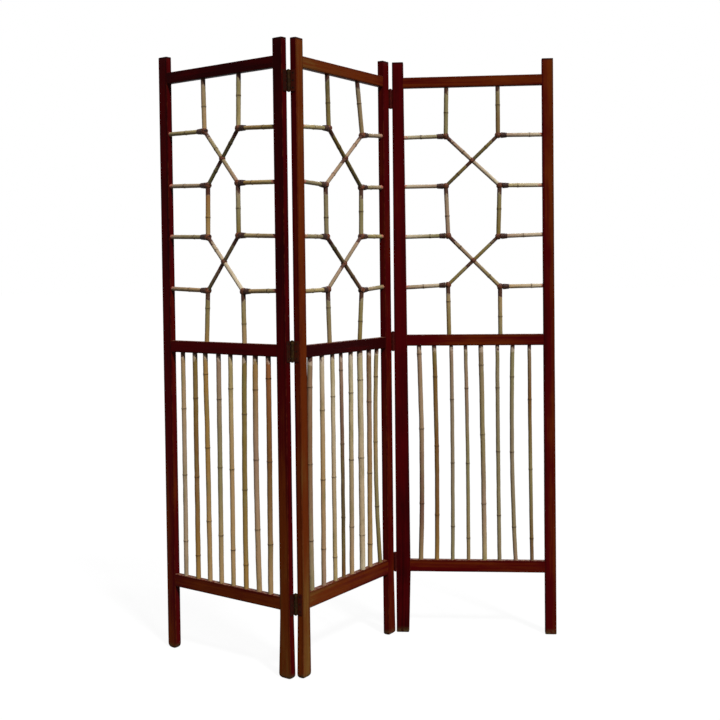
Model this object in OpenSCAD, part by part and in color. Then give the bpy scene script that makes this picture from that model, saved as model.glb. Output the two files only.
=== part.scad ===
// Free-standing folding screen of three panels.
// Each panel is a slim hardwood frame with a lattice of bound canes over a row of upright canes.
// Millimetres. +Z is up, the front faces -Y, and the origin lies on the floor
// at the middle of the standing screen's footprint.

/* [Posts] */
// Height of a post, from the floor to its top end
post_h = 1830; // [1700:5:1950]
// Width of a panel over its two posts
panel_w = 508; // [470:1:600]
// Width of a post, seen from the front
post_w = 36; // [33:0.5:42]
// Thickness of a post, front to back
post_t = 21; // [21:0.5:26]
// Rounding of a post's long edges
post_edge_r = 2; // [1.5:0.25:4]
// Rounding of a post's top end
post_top_r = 2; // [1:0.25:3]

/* [Legs] */
// Height of the open leg under each bottom rail, from the left panel to the right one
leg_h = [197, 197, 198]; // [160:1:260]
// How far a leg stands proud of its post all round, where it was shaped by hand
leg_step = 0.15; // [0.1:0.05:0.3]
// Height of the flat that the domed foot stands on, above the dome's own lowest point
foot_cut = 0.6; // [0.4:0.1:1.2]
// Rounding of each foot, seen from the front, from the left post to the right post
foot_round = [17, 14, 14, 9, 4, 4]; // [3:0.5:17]
// Rounding of each foot, front to back
foot_round_back = [9, 9, 9, 7, 4, 4]; // [3:0.5:9]
// Widening of each leg on its inner side, under the rail
leg_inner_top = [0, 0, 0, 0, 7, 0]; // [0:0.5:8]
// Widening of each leg on its outer side, under the rail
leg_outer_top = [0, 0, 0, 0, 3, 0]; // [0:0.5:4]
// Widening of each leg on its inner side, at the foot
leg_inner_foot = [0, 7, 1, 0, 1, 0]; // [0:0.5:8]
// Widening of each leg on its outer side, at the foot
leg_outer_foot = [0, 3, 5, 5, 3.5, 0]; // [0:0.5:5]

/* [Rails] */
// Height of the top rails
top_rail_h = 34; // [32:0.5:42]
// Height of the middle rails
middle_rail_h = 36; // [32:0.5:42]
// Height of each bottom rail, from the left panel to the right one
bottom_rail_h = [38.5, 46.5, 38.5]; // [32:0.5:48]
// Distance from a post's face back to the rail's face
rail_setback = 0.5; // [0:0.1:1.5]
// Rounding of a rail's long edges
rail_edge_r = 2.5; // [1:0.25:4]
// Distance from a post's top end down to the top rail
top_rail_drop = 49; // [30:1:80]
// Height of each middle rail's centre above the floor
middle_rail_z = [943, 939.5, 944]; // [880:0.5:980]
// Length of a rail's tenon
tenon_l = 18; // [14:0.5:20]
// Thickness of a tenon
tenon_t = 7; // [5:0.5:9]
// Height of a tenon
tenon_h = 25; // [18:1:28]
// Clearance between a tenon and its mortise
tenon_fit = 0.2; // [0.1:0.05:0.4]

/* [Cane lattice] */
// Half the distance between a lattice's two uprights
lattice_half_w = 82; // [60:1:110]
// Diameter of the lattice's upright canes
upright_d = 14; // [11:0.5:15]
// Diameter of the short side canes
side_d = 13; // [10:0.5:14]
// Diameter of the crossing canes
crossing_d = 12.5; // [10:0.5:13.5]
// How much slimmer the crossing canes are that are cut in two
halved_slimmer = 1; // [0.6:0.1:2]
// Depth of the sockets that hold the cane ends
socket_depth = 10; // [8:0.5:12]
// Clearance all round a cane in its socket
cane_fit = 0.25; // [0.15:0.05:0.4]
// Distance from a cane's end to the floor of its socket
cane_end_gap = 0.3; // [0.1:0.1:0.5]
// Distance between a lattice cane's growth rings
lattice_ring_pitch = 130; // [90:1:160]
// Shortest distance from a lattice cane's end to its first growth ring
lattice_first_ring = 50; // [40:1:60]
// Step between the first rings of one lattice cane and the next
lattice_ring_stagger = 21; // [12:1:24]

/* [Drift of the left lattice] */
// Sideways drift of the left upright, from the top rail down through four joints to the middle rail
left_drift_l = [11, 14, 25, 22, 18, 10]; // [-26:1:26]
// Sideways drift of the right upright
left_drift_r = [-6, -10, -15, -15, 0, 2]; // [-26:1:26]
// Rise of the left upright's joints
left_rise_l = [1, -4, -1, -4]; // [-10:1:10]
// Rise of the right upright's joints
left_rise_r = [-1, -3, 1, -6]; // [-10:1:10]
// Rise of the left side canes towards the post
left_tilt_l = [3, 6, 5, 6]; // [-10:1:10]
// Rise of the right side canes towards the post
left_tilt_r = [-8, -5, -6, 2]; // [-10:1:10]

/* [Drift of the middle lattice] */
// Sideways drift of the left upright
middle_drift_l = [0, 5, -15, -13, -10, -4]; // [-26:1:26]
// Sideways drift of the right upright
middle_drift_r = [0, 25, 16, 13, 12, -2]; // [-26:1:26]
// Rise of the left upright's joints
middle_rise_l = [1, -9, -3, -1]; // [-10:1:10]
// Rise of the right upright's joints
middle_rise_r = [-3, -6, 1, -7]; // [-10:1:10]
// Rise of the left side canes towards the post
middle_tilt_l = [-8, 4, -1, -3]; // [-10:1:10]
// Rise of the right side canes towards the post
middle_tilt_r = [7, 6, 2, 8]; // [-10:1:10]

/* [Drift of the right lattice] */
// Sideways drift of the left upright
right_drift_l = [0, -3, -4, 2, 0, 2]; // [-26:1:26]
// Sideways drift of the right upright
right_drift_r = [-2, -2, 2, -3, 1, 1]; // [-26:1:26]
// Rise of the left upright's joints
right_rise_l = [3, 2, 1, 1]; // [-10:1:10]
// Rise of the right upright's joints
right_rise_r = [3, 1, -3, -6]; // [-10:1:10]
// Rise of the left side canes towards the post
right_tilt_l = [-2, 0, -2, -7]; // [-10:1:10]
// Rise of the right side canes towards the post
right_tilt_r = [-1, -1, 4, 2]; // [-10:1:10]

/* [Bindings] */
// Radius of the bound knob at a lattice joint
knob_r = 11.2; // [10.5:0.1:11.4]
// Radius of the binding where two canes cross
crossing_knob_r = 10; // [9:0.1:11]
// Length of the wrapped sleeve on a side cane, from the joint's centre
sleeve_l = 29; // [22:1:36]
// Wall of the sleeve at its outer end
sleeve_wall = 1.6; // [1:0.1:2.5]
// Extra wall of the sleeve next to the knob
sleeve_swell = 1.2; // [0.5:0.1:2]
// Clearance between a binding and the canes that it holds
binding_fit = 0.15; // [0.1:0.05:0.3]

/* [Lower canes] */
// Distance from a post to the centre of the first lower cane
lower_margin = 41; // [30:1:50]
// How far a growth ring stands proud of the cane
ring_swell = 0.9; // [0.5:0.1:1.5]
// Shortest distance between a lower cane's growth rings
ring_pitch = 205; // [160:1:240]
// How much further apart the rings of some canes are
pitch_stagger = 18; // [5:1:30]
// Height of the lowest growth ring above the bottom rail
lowest_ring = 70; // [50:1:90]
// Step between the lowest rings of one lower cane and the next
ring_stagger = 37; // [20:1:45]
// Least distance between a growth ring and the end of its cane
ring_edge = 22; // [18:1:30]
// Diameters of the left panel's lower canes, left to right
left_cane_d = [14, 15, 15, 14.5, 14, 15, 16, 15.5]; // [10:0.5:18]
// Diameters of the middle panel's lower canes
middle_cane_d = [16, 14.5, 13.5, 12, 14.5, 18, 15.5, 13.5]; // [10:0.5:18]
// Diameters of the right panel's lower canes
right_cane_d = [15, 14.5, 12.5, 12, 15.5, 13, 13.5, 12]; // [10:0.5:18]
// Sideways shift of the left panel's cane feet
left_foot_shift = [-1, 2, 2, 0, -1, 1, 3, -3]; // [-12:1:12]
// Sideways shift of the left panel's cane heads
left_head_shift = [0, 2, -4, 1, 0, 7, 0, 0]; // [-12:1:12]
// Sideways bow of the left panel's canes at mid-height
left_bow = [1, 0, 1, 0, 0, -3, -4, 1]; // [-10:1:10]
// Sideways shift of the middle panel's cane feet
middle_foot_shift = [-17, -6, 5, 0, -5, 5, -1, 8]; // [-18:1:18]
// Sideways shift of the middle panel's cane heads
middle_head_shift = [-12, -2, 3, -2, 2, 3, 5, 1]; // [-12:1:12]
// Sideways bow of the middle panel's canes at mid-height
middle_bow = [-5, 1, 0, 2, 1, 1, 1, -16]; // [-16:1:16]
// Sideways shift of the right panel's cane feet
right_foot_shift = [0, 1, 1, 1, 2, -1, 0, 1]; // [-12:1:12]
// Sideways shift of the right panel's cane heads
right_head_shift = [0, -2, 2, -3, -5, -3, -5, -3]; // [-12:1:12]
// Sideways bow of the right panel's canes at mid-height
right_bow = [6, 4, 2, 2, 1, -1, -7, -1]; // [-10:1:10]

/* [Hinges] */
// Height of a hinge
hinge_h = 60; // [50:1:72]
// Distance from the top rail's underside down to each joint's top hinge
hinge_below_rail = [9, 3]; // [0:1:20]
// Height of each joint's bottom hinge above the bottom rail's underside
hinge_above_leg = [-12, 2]; // [-20:1:20]
// Diameter of the hinge barrel, which is also the gap between two posts laid flat
barrel_d = 11; // [10:0.5:13]
// Thickness of a leaf
leaf_t = 2; // [1.5:0.1:2.5]
// Reach of a leaf from the pin's centre across the post's side
leaf_reach = 19; // [17:0.5:21]
// How far the pin's centre stands beyond the posts' faces
pin_stand = 1.2; // [1.1:0.1:2.5]
// Diameter of the pin
pin_d = 5; // [4:0.25:6]
// Running clearance all round the pin
pin_fit = 0.05; // [0.02:0.01:0.09]
// Diameter of the pin's heads
pin_head_d = 8; // [7:0.25:9]
// Height of the pin's heads
pin_head_h = 1.6; // [1:0.1:2.5]
// Number of knuckles on a hinge
knuckle_n = 5; // [5:2:7]
// Gap between two knuckles
knuckle_gap = 0.3; // [0.2:0.05:0.6]
// Clearance between a leaf and the other leaf's knuckles
leaf_notch_fit = 0.3; // [0.2:0.05:0.5]

/* [Screws] */
// Diameter of a screw's shank
screw_d = 3; // [2.5:0.25:3.5]
// Length of a screw, with its head
screw_l = 13; // [10:0.5:14]
// Diameter of a countersunk head
screw_head_d = 6; // [5:0.25:7]
// Height of a countersunk head
screw_head_h = 1.5; // [1.2:0.1:1.9]
// Clearance all round a screw
screw_fit = 0.1; // [0.05:0.05:0.2]
// Distance from a hinge's end to its nearest screw
screw_margin = 9; // [7:0.5:12]
// Width of the driver slot
slot_w = 0.9; // [0.6:0.1:1.2]
// Depth of the driver slot
slot_h = 0.7; // [0.4:0.1:0.9]

/* [Standing angles] */
// Turn of the left panel back from the front plane
left_turn = 38.2; // [20:0.1:60]
// Turn of the middle panel back from the front plane
middle_turn = 57.5; // [40:0.1:75]
// Turn of the right panel towards the front plane
right_turn = 5.2; // [0:0.1:30]

/* [Hidden] */
$fn = 48;

LEFT = 0;
MIDDLE = 1;
RIGHT = 2;
PANELS = [LEFT, MIDDLE, RIGHT];
// A post, hinge side or upright is named by its side of the panel
L = 0;
R = 1;
SIDES = [L, R];
panel_name = ["left", "middle", "right"];
joint_name = ["left", "right"];
post_name = [["left_outer", "left_hinge"], ["middle_left", "middle_right"], ["right_hinge", "right_outer"]];
rail_name = ["top", "middle", "bottom"];
place_name = ["top", "middle", "bottom"];
color_wood = "#5a1a10";
color_cane = "#a98a5c";
color_binding = "#3a1a12";
color_steel = "#2c2826";

// Heights of the frame
rail_t = post_t - 2 * rail_setback;
mid_y = post_t / 2;
inner_w = panel_w - 2 * post_w;
top_rail_base = post_h - top_rail_drop - top_rail_h;
function middle_rail_base(p) = middle_rail_z[p] - middle_rail_h / 2;
function middle_rail_top(p) = middle_rail_z[p] + middle_rail_h / 2;
bottom_rail_top = leg_h + bottom_rail_h;
function rail_mid(p) = [top_rail_base + top_rail_h / 2, middle_rail_z[p], leg_h[p] + bottom_rail_h[p] / 2];
mortise_l = tenon_l + tenon_fit;

// The lattice divides its opening into five equal heights, with a joint on each of the four lines
joint_n = 4;
function lattice_pitch(p) = (top_rail_base - middle_rail_top(p)) / (joint_n + 1);
upright_r = upright_d / 2;
side_r = side_d / 2;
crossing_r = crossing_d / 2;
halved_r = crossing_r - halved_slimmer / 2;
drift = [[left_drift_l, left_drift_r], [middle_drift_l, middle_drift_r], [right_drift_l, right_drift_r]];
rise = [[left_rise_l, left_rise_r], [middle_rise_l, middle_rise_r], [right_rise_l, right_rise_r]];
tilt = [[left_tilt_l, left_tilt_r], [middle_tilt_l, middle_tilt_r], [right_tilt_l, right_tilt_r]];

// Lower canes
cane_d = [left_cane_d, middle_cane_d, right_cane_d];
foot_shift = [left_foot_shift, middle_foot_shift, right_foot_shift];
head_shift = [left_head_shift, middle_head_shift, right_head_shift];
bow = [left_bow, middle_bow, right_bow];
lower_n = len(left_cane_d);
lower_pitch = (inner_w - 2 * lower_margin) / (lower_n - 1);

// Hinges: the barrel fills the gap between two posts laid flat
post_gap = barrel_d / 2;
knuckle_overlap = 0.1;
barrel_r = post_gap - knuckle_overlap;
knuckle_h = hinge_h / knuckle_n;
leg_relief = 3;
screw_end_gap = 0.3;
pin_head_taper = 2;
function hinge_joint(p, s) = p == LEFT || (p == MIDDLE && s == L) ? 0 : 1;
function hinge_z(j) = [
    top_rail_base - hinge_below_rail[j] - hinge_h / 2,
    (middle_rail_z[j] + middle_rail_z[j + 1]) / 2,
    max(leg_h[j], leg_h[j + 1]) + hinge_above_leg[j] + hinge_h / 2
];
screw_line = pin_stand + mid_y;
screw_z = hinge_h / 2 - screw_margin;

// A 2D point turned about the origin
function turned(v, a) = [v[0] * cos(a) - v[1] * sin(a), v[0] * sin(a) + v[1] * cos(a)];

// Panel directions and the two pin axes, with the left axis at zero
panel_turn = [-left_turn, middle_turn, -right_turn];
pin_back = post_t + pin_stand;
right_pin = turned([panel_w + 2 * post_gap, -(pin_back + pin_stand)], middle_turn);
panel_pin = [[0, 0], [0, 0], right_pin];
panel_shift = [[-(panel_w + post_gap), -pin_back], [post_gap, -pin_back], [post_gap, pin_stand]];
function placed(p, x, y) = panel_pin[p] + turned(panel_shift[p] + [x, y], panel_turn[p]);

// Outline of the standing posts, from which the footprint's middle is worked out
function post_x(s) = s == L ? 0 : panel_w - post_w;
function spread(s, outer, inner) =
    s == L ? [-outer, post_w + inner] : [panel_w - post_w - inner, panel_w + outer];
function post_index(p, s) = 2 * p + s;
function leg_wide(i, f) = [
    leg_outer_top[i] + (leg_outer_foot[i] - leg_outer_top[i]) * f,
    leg_inner_top[i] + (leg_inner_foot[i] - leg_inner_top[i]) * f
] + [leg_step, leg_step];
function leg_span(p, s, f) = spread(s, leg_wide(post_index(p, s), f)[0], leg_wide(post_index(p, s), f)[1]);
outline = [
    for (p = PANELS, s = SIDES, f = [0, 1])
        let (x = leg_span(p, s, f), e = post_edge_r)
            for (cx = [x[0] + e, x[1] - e], cy = [e - leg_step, post_t - e + leg_step]) placed(p, cx, cy)
];
outline_x = [for (q = outline) q[0]];
outline_y = [for (q = outline) q[1]];
middle = [(min(outline_x) + max(outline_x)) / 2, (min(outline_y) + max(outline_y)) / 2];

// Puts what is drawn in a panel's own frame where that panel stands.
// There x runs along the panel from its left edge, y from its front face to its back face.
module in_panel(p) {
    translate([panel_pin[p][0] - middle[0], panel_pin[p][1] - middle[1], 0])
        rotate([0, 0, panel_turn[p]])
            translate([panel_shift[p][0], panel_shift[p][1], 0]) children();
}

// Rounded rectangle with its corner at the origin
module rounded(w, t, r) {
    translate([r, 0]) square([w - 2 * r, t]);
    translate([0, r]) square([w, t - 2 * r]);
    for (x = [r, w - r], y = [r, t - r]) translate([x, y]) circle(r = r);
}

// Thin slice of a leg or of a post's end, between two x and two y values
slice_h = 0.1;
slice_fn = 16;
module slice(x, y, r, z) {
    translate([x[0], y[0], z]) linear_extrude(slice_h) rounded(x[1] - x[0], y[1] - y[0], r, $fn = slice_fn);
}

// Inset of a quarter-round end at height z, where the round was cut flat at the floor
function end_inset(r, z) = z >= r - foot_cut ? 0 : r - sqrt(r * r - pow(r - foot_cut - z, 2));

// Height at which a leg begins to differ from its post: under the rail, and under any hinge
function leg_top(p, s) =
    has_hinge(p, s) ? min(leg_h[p], hinge_z(hinge_joint(p, s))[2] - hinge_h / 2 - leg_relief) : leg_h[p];

// One leg: it widens or narrows from its top to the foot, which is rounded off
module leg(p, s) {
    i = post_index(p, s);
    steps = 7;
    least_flat = 0.2;
    foot_h = foot_round[i] - foot_cut;
    hull() {
        for (z = concat([leg_top(p, s) - slice_h], [for (k = [0:steps]) foot_h * pow(k / steps, 2)])) {
            f = min(1, (leg_top(p, s) - z) / (leg_top(p, s) - foot_h));
            span = leg_span(p, s, f);
            in_x = end_inset(foot_round[i], z);
            in_y = end_inset(foot_round_back[i], z);
            x = [span[0] + in_x, span[1] - in_x];
            y = [in_y - leg_step, post_t + leg_step - in_y];
            most_r = min(x[1] - x[0], y[1] - y[0]) / 2 - least_flat;
            r = min(post_edge_r + min(in_x, in_y) / 2, most_r);
            slice(x, y, r, z);
        }
    }
}

// Eased top end of a post
module post_top(s) {
    x = post_x(s);
    steps = 4;
    ease = 0.1;
    least_r = 0.8;
    hull() {
        for (k = [0:steps]) {
            a = 90 * k / steps;
            inset = ease + post_top_r * (1 - cos(a));
            r = max(least_r, post_edge_r - inset);
            top = post_h - post_top_r + post_top_r * sin(a) - slice_h;
            slice([x + inset, x + post_w - inset], [inset, post_t - inset], r, top);
        }
    }
}

// Post with its leg, three mortises, the side canes' sockets and the hinge screws' holes
module post(p, s) {
    inner = s == L ? post_w : panel_w - post_w;
    straight = post_h - post_top_r - leg_top(p, s);
    color(color_wood)
    difference() {
        union() {
            translate([post_x(s), 0, leg_top(p, s)])
                linear_extrude(straight) rounded(post_w, post_t, post_edge_r);
            leg(p, s);
            post_top(s);
        }
        for (z = rail_mid(p))
            translate([inner, mid_y, z])
                cube([2 * mortise_l, tenon_t + 2 * tenon_fit, tenon_h + 2 * tenon_fit], center = true);
        for (k = [1:joint_n]) socket(side_end(p, s, k), joint(p, s, k), side_r);
        if (has_hinge(p, s))
            for (z = hinge_z(hinge_joint(p, s)), k = [-1:1]) hinge_place(p, s, z + k * screw_z) screw_hole();
    }
}

// Rail at height z, with a tenon at each end
module rail_bar(z, h) {
    translate([post_w, rail_setback, z - h / 2])
        rotate([90, 0, 90]) linear_extrude(inner_w) rounded(rail_t, h, rail_edge_r);
    translate([post_w - tenon_l, mid_y - tenon_t / 2, z - tenon_h / 2])
        cube([inner_w + 2 * tenon_l, tenon_t, tenon_h]);
}

module top_rail(p) {
    color(color_wood)
    difference() {
        rail_bar(rail_mid(p)[0], top_rail_h);
        for (s = SIDES) socket(joint(p, s, 0), joint(p, s, 1), upright_r);
    }
}

module middle_rail(p) {
    color(color_wood)
    difference() {
        rail_bar(rail_mid(p)[1], middle_rail_h);
        for (s = SIDES) socket(joint(p, s, joint_n + 1), joint(p, s, joint_n), upright_r);
        for (i = [0:lower_n - 1])
            socket(lower_point(p, i, 1), lower_ring(p, i, ring_count(p, i) - 1), cane_d[p][i] / 2);
    }
}

module bottom_rail(p) {
    color(color_wood)
    difference() {
        rail_bar(rail_mid(p)[2], bottom_rail_h[p]);
        for (i = [0:lower_n - 1]) socket(lower_point(p, i, 0), lower_ring(p, i, 0), cane_d[p][i] / 2);
    }
}

// Points in a panel's own plane are [x, z] pairs, and lie at half its thickness
function step_to(a, b, d) = a + (b - a) * d / norm(b - a);
function heading(a, b) = atan2(b[0] - a[0], b[1] - a[1]);

// Puts what is drawn up the z axis on the line from a to b
module along(a, b) {
    translate([a[0], mid_y, a[1]]) rotate([0, heading(a, b), 0]) children();
}

// Round bar of one radius between two points of the panel's plane
module rod(a, b, r) {
    along(a, b) cylinder(r = r, h = norm(b - a));
}

// Socket drilled at point a of a rail's or post's surface, in line with the cane that runs to b
module socket(a, b, r) {
    rod(step_to(a, b, -socket_depth), step_to(a, b, socket_depth), r + cane_fit);
}

// End of a cane inside the socket drilled at a
function seated(a, b) = step_to(a, b, cane_end_gap - socket_depth);

// Cane through a list of points: at each inner point it bends a little, and a growth ring stands proud
module bent_cane(points, r) {
    part_line = 0.4;
    last = len(points) - 1;
    for (i = [0:last - 1]) {
        l = norm(points[i + 1] - points[i]);
        first = i == 0 ? 0 : part_line;
        along(points[i], points[i + 1]) {
            translate([0, 0, first]) cylinder(r = r, h = l - first - (i < last - 1 ? part_line : 0));
            if (i < last - 1) translate([0, 0, l]) sphere(r = r + ring_swell);
        }
    }
}

// First growth ring of lattice cane n
function lattice_ring(n) = lattice_first_ring + lattice_ring_stagger * (n % 3);

// Straight cane from a to b with growth rings from the given distance on
module straight_cane(a, b, r, first) {
    along(a, b) {
        cylinder(r = r, h = norm(b - a));
        for (d = [first:lattice_ring_pitch:norm(b - a) - 2 * ring_edge])
            translate([0, 0, d]) sphere(r = r + ring_swell);
    }
}

// Lower cane i of panel p at the share u of its height: its bow is a parabola
function lower_point(p, i, u) = [
    post_w + lower_margin + lower_pitch * i + foot_shift[p][i] * (1 - u) + head_shift[p][i] * u
        + 4 * bow[p][i] * u * (1 - u),
    bottom_rail_top[p] + lower_l(p) * u
];
function lower_l(p) = middle_rail_base(p) - bottom_rail_top[p];
// Growth rings lie at another height on each cane
function first_ring(p, i) = lowest_ring + ring_stagger * ((3 * i + p + 1) % 4);
function pitch_of(p, i) = ring_pitch + pitch_stagger * ((2 * i + p) % 3);
function ring_count(p, i) = floor((lower_l(p) - ring_edge - first_ring(p, i)) / pitch_of(p, i)) + 1;
function lower_ring(p, i, k) = lower_point(p, i, (first_ring(p, i) + k * pitch_of(p, i)) / lower_l(p));

module lower_canes(p) {
    color(color_cane)
    for (i = [0:lower_n - 1]) {
        rings = [for (k = [0:ring_count(p, i) - 1]) lower_ring(p, i, k)];
        foot = seated(lower_point(p, i, 0), rings[0]);
        head = seated(lower_point(p, i, 1), rings[len(rings) - 1]);
        bent_cane(concat([foot], rings, [head]), cane_d[p][i] / 2);
    }
}

// Joint k of the lattice's upright on side s: 0 is at the top rail and 5 at the middle rail
function joint(p, s, k) = [
    panel_w / 2 + (s == L ? -1 : 1) * lattice_half_w + drift[p][s][k],
    top_rail_base - k * lattice_pitch(p) + (k > 0 && k <= joint_n ? rise[p][s][k - 1] : 0)
];
// Where the side cane of joint k meets its post
function side_end(p, s, k) = [s == L ? post_w : panel_w - post_w, joint(p, s, k)[1] + tilt[p][s][k - 1]];
// The joint's other upright neighbour, and the far end of its crossing cane
function upright_end(p, s, k) = k % 2 == 1 ? joint(p, s, k - 1) : joint(p, s, k + 1);
function crossing_end(p, s, k) = k % 2 == 1 ? joint(p, 1 - s, k + 1) : joint(p, 1 - s, k - 1);
// Angle between the ways from q to a and from q to b
function corner(q, a, b) = acos((a - q) * (b - q) / (norm(a - q) * norm(b - q)));
// Distance from the joint's centre at which upright and crossing cane end
function cut_back(p, s, k) =
    max(upright_r, crossing_r) / tan(corner(joint(p, s, k), upright_end(p, s, k), crossing_end(p, s, k)) / 2)
        + cane_end_gap;
// Distance from a joint's centre to the ends of its side cane and sleeve, and past its knob
joint_play = 0.5;
side_cut = upright_r + cane_end_gap + joint_play;

module upright_canes(p) {
    color(color_cane)
    for (s = SIDES) {
        a = joint(p, s, 0);
        b = joint(p, s, 1);
        straight_cane(step_to(b, a, cut_back(p, s, 1)), seated(a, b), upright_r, lattice_ring(s + 1));
        c = joint(p, s, 2);
        d = joint(p, s, 3);
        low = step_to(d, c, cut_back(p, s, 3));
        straight_cane(step_to(c, d, cut_back(p, s, 2)), low, upright_r, lattice_ring(2 - s));
        e = joint(p, s, joint_n);
        f = joint(p, s, joint_n + 1);
        straight_cane(step_to(e, f, cut_back(p, s, joint_n)), seated(f, e), upright_r, lattice_ring(2 * s));
    }
}

module side_canes(p) {
    color(color_cane)
    for (s = SIDES, k = [1:joint_n]) {
        a = joint(p, s, k);
        b = side_end(p, s, k);
        straight_cane(step_to(a, b, side_cut), seated(b, a), side_r, lattice_ring(k + s));
    }
}

// Where the two crossing canes of the upper or lower cross meet, for k = 1 or 3
function crossing(p, k) = let (
    a = joint(p, L, k), b = joint(p, R, k + 1), c = joint(p, R, k), d = joint(p, L, k + 1),
    u = b - a, v = d - c, w = c - a
) a + u * (w[0] * v[1] - w[1] * v[0]) / (u[0] * v[1] - u[1] * v[0]);

// The cane from upper left to lower right is whole, and the two halves of the other are coped to it
module crossing_canes(p) {
    color(color_cane)
    for (k = [1, 3]) {
        a = joint(p, L, k);
        b = joint(p, R, k + 1);
        q = crossing(p, k);
        low = step_to(b, a, cut_back(p, R, k + 1));
        straight_cane(step_to(a, b, cut_back(p, L, k)), low, crossing_r, lattice_ring(k));
        for (half = [[R, k], [L, k + 1]]) {
            c = joint(p, half[0], half[1]);
            difference() {
                straight_cane(step_to(c, q, cut_back(p, half[0], half[1])), q, halved_r, lattice_ring(k + 2));
                rod(a, b, crossing_r + cane_end_gap);
            }
        }
    }
}
function crossing_cane_r(s, k) = (s == L) == (k % 2 == 1) ? crossing_r : halved_r;

// Bound knob at joint k of side s, with its wrapped sleeve along the side cane
module corner_binding(p, s, k) {
    q = joint(p, s, k);
    out = side_end(p, s, k);
    up = upright_end(p, s, k);
    cross = crossing_end(p, s, k);
    cut = cut_back(p, s, k) - binding_fit;
    reach = 2 * knob_r;
    end_r = side_r + sleeve_wall;
    start = side_cut + joint_play;
    difference() {
        along(q, out) difference() {
            union() {
                sphere(r = knob_r);
                translate([0, 0, start])
                    cylinder(r1 = end_r + sleeve_swell, r2 = end_r, h = sleeve_l - start);
            }
            translate([0, 0, side_cut - binding_fit]) cylinder(r = side_r + binding_fit, h = sleeve_l);
        }
        rod(step_to(q, up, cut), step_to(q, up, reach), upright_r + binding_fit);
        rod(step_to(q, cross, cut), step_to(q, cross, reach), crossing_cane_r(s, k) + binding_fit);
    }
}

module corner_bindings(p) {
    color(color_binding) for (s = SIDES, k = [1:joint_n]) corner_binding(p, s, k);
}

// Binding round each crossing, with a bore for the whole cane and one for the two halves
module crossing_bindings(p) {
    color(color_binding)
    for (k = [1, 3]) {
        q = crossing(p, k);
        whole = joint(p, R, k + 1);
        half = joint(p, R, k);
        bore_l = 4 * crossing_knob_r;
        along(q, whole) difference() {
            sphere(r = crossing_knob_r);
            cylinder(r = crossing_r + binding_fit, h = bore_l, center = true);
            rotate([0, heading(q, half) - heading(q, whole), 0])
                cylinder(r = halved_r + binding_fit, h = bore_l, center = true);
        }
    }
}

// Hinges. A leaf is drawn for a post to the left of the pin with the pin behind it:
// the pin stands on the z axis, the post's side is the plane x = -post_gap.
function has_hinge(p, s) = p == MIDDLE || (p == LEFT && s == R) || (p == RIGHT && s == L);
function pin_behind(p, s) = p == LEFT || (p == MIDDLE && s == L);

module hinge_place(p, s, z) {
    translate([s == R ? panel_w + post_gap : -post_gap, pin_behind(p, s) ? pin_back : -pin_stand, z])
        mirror([s == R ? 0 : 1, 0, 0]) mirror([0, pin_behind(p, s) ? 0 : 1, 0]) children();
}

// The screw's axis runs from the leaf's face into the post
module screw_axis(out) {
    translate([leaf_t - post_gap + out, -screw_line, 0]) rotate([0, -90, 0]) children();
}

module screw_hole() {
    screw_axis(0) cylinder(d = screw_d + 2 * screw_fit, h = screw_l + screw_end_gap);
}

module hinge_leaf(odd) {
    first = odd ? 1 : 0;
    long = barrel_d + leaf_reach;
    color(color_steel)
    difference() {
        union() {
            translate([-post_gap, -leaf_reach, -hinge_h / 2]) cube([leaf_t, leaf_reach, hinge_h]);
            for (i = [first:2:knuckle_n - 1]) {
                below = i > 0 ? knuckle_gap / 2 : 0;
                above = i < knuckle_n - 1 ? knuckle_gap / 2 : 0;
                translate([0, 0, i * knuckle_h - hinge_h / 2 + below])
                    cylinder(r = barrel_r, h = knuckle_h - below - above);
            }
        }
        for (i = [1 - first:2:knuckle_n - 1])
            translate([0, 0, i * knuckle_h - hinge_h / 2 - knuckle_gap / 2])
                cylinder(r = barrel_r + leaf_notch_fit, h = knuckle_h + knuckle_gap);
        cylinder(d = pin_d + 2 * pin_fit, h = 2 * hinge_h, center = true);
        for (k = [-1:1]) translate([0, 0, k * screw_z]) {
            screw_axis(0) cylinder(d = screw_d + 2 * screw_fit, h = long);
            screw_axis(0)
                cylinder(d1 = screw_head_d + 2 * screw_fit, d2 = screw_d + 2 * screw_fit, h = screw_head_h);
        }
    }
}

module hinge_pin() {
    seat = knuckle_gap;
    color(color_steel) {
        cylinder(d = pin_d, h = hinge_h + 2 * seat + pin_head_h, center = true);
        for (way = [0, 1]) mirror([0, 0, way]) translate([0, 0, hinge_h / 2 + seat])
            cylinder(d1 = pin_head_d, d2 = pin_head_d - pin_head_taper, h = pin_head_h);
    }
}

module screw() {
    color(color_steel)
    difference() {
        union() {
            screw_axis(0) cylinder(d = screw_d, h = screw_l);
            screw_axis(0) cylinder(d1 = screw_head_d, d2 = screw_d, h = screw_head_h);
        }
        screw_axis(0) cube([screw_head_d + 1, slot_w, 2 * slot_h], center = true);
    }
}

module hinge_screws(p, s) {
    for (z = hinge_z(hinge_joint(p, s)), k = [-1:1]) hinge_place(p, s, z + k * screw_z) screw();
}

// Each joint's outer panel with the side of its hinge, and the middle panel's side there
outer_side = [[LEFT, R], [RIGHT, L]];
middle_side = [[MIDDLE, L], [MIDDLE, R]];

for (p = PANELS) in_panel(p) {
    for (s = SIDES)
        post(p, s);
    top_rail(p);
    middle_rail(p);
    bottom_rail(p);
    lower_canes(p);
    upright_canes(p);
    side_canes(p);
    crossing_canes(p);
    corner_bindings(p);
    crossing_bindings(p);
}

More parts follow.
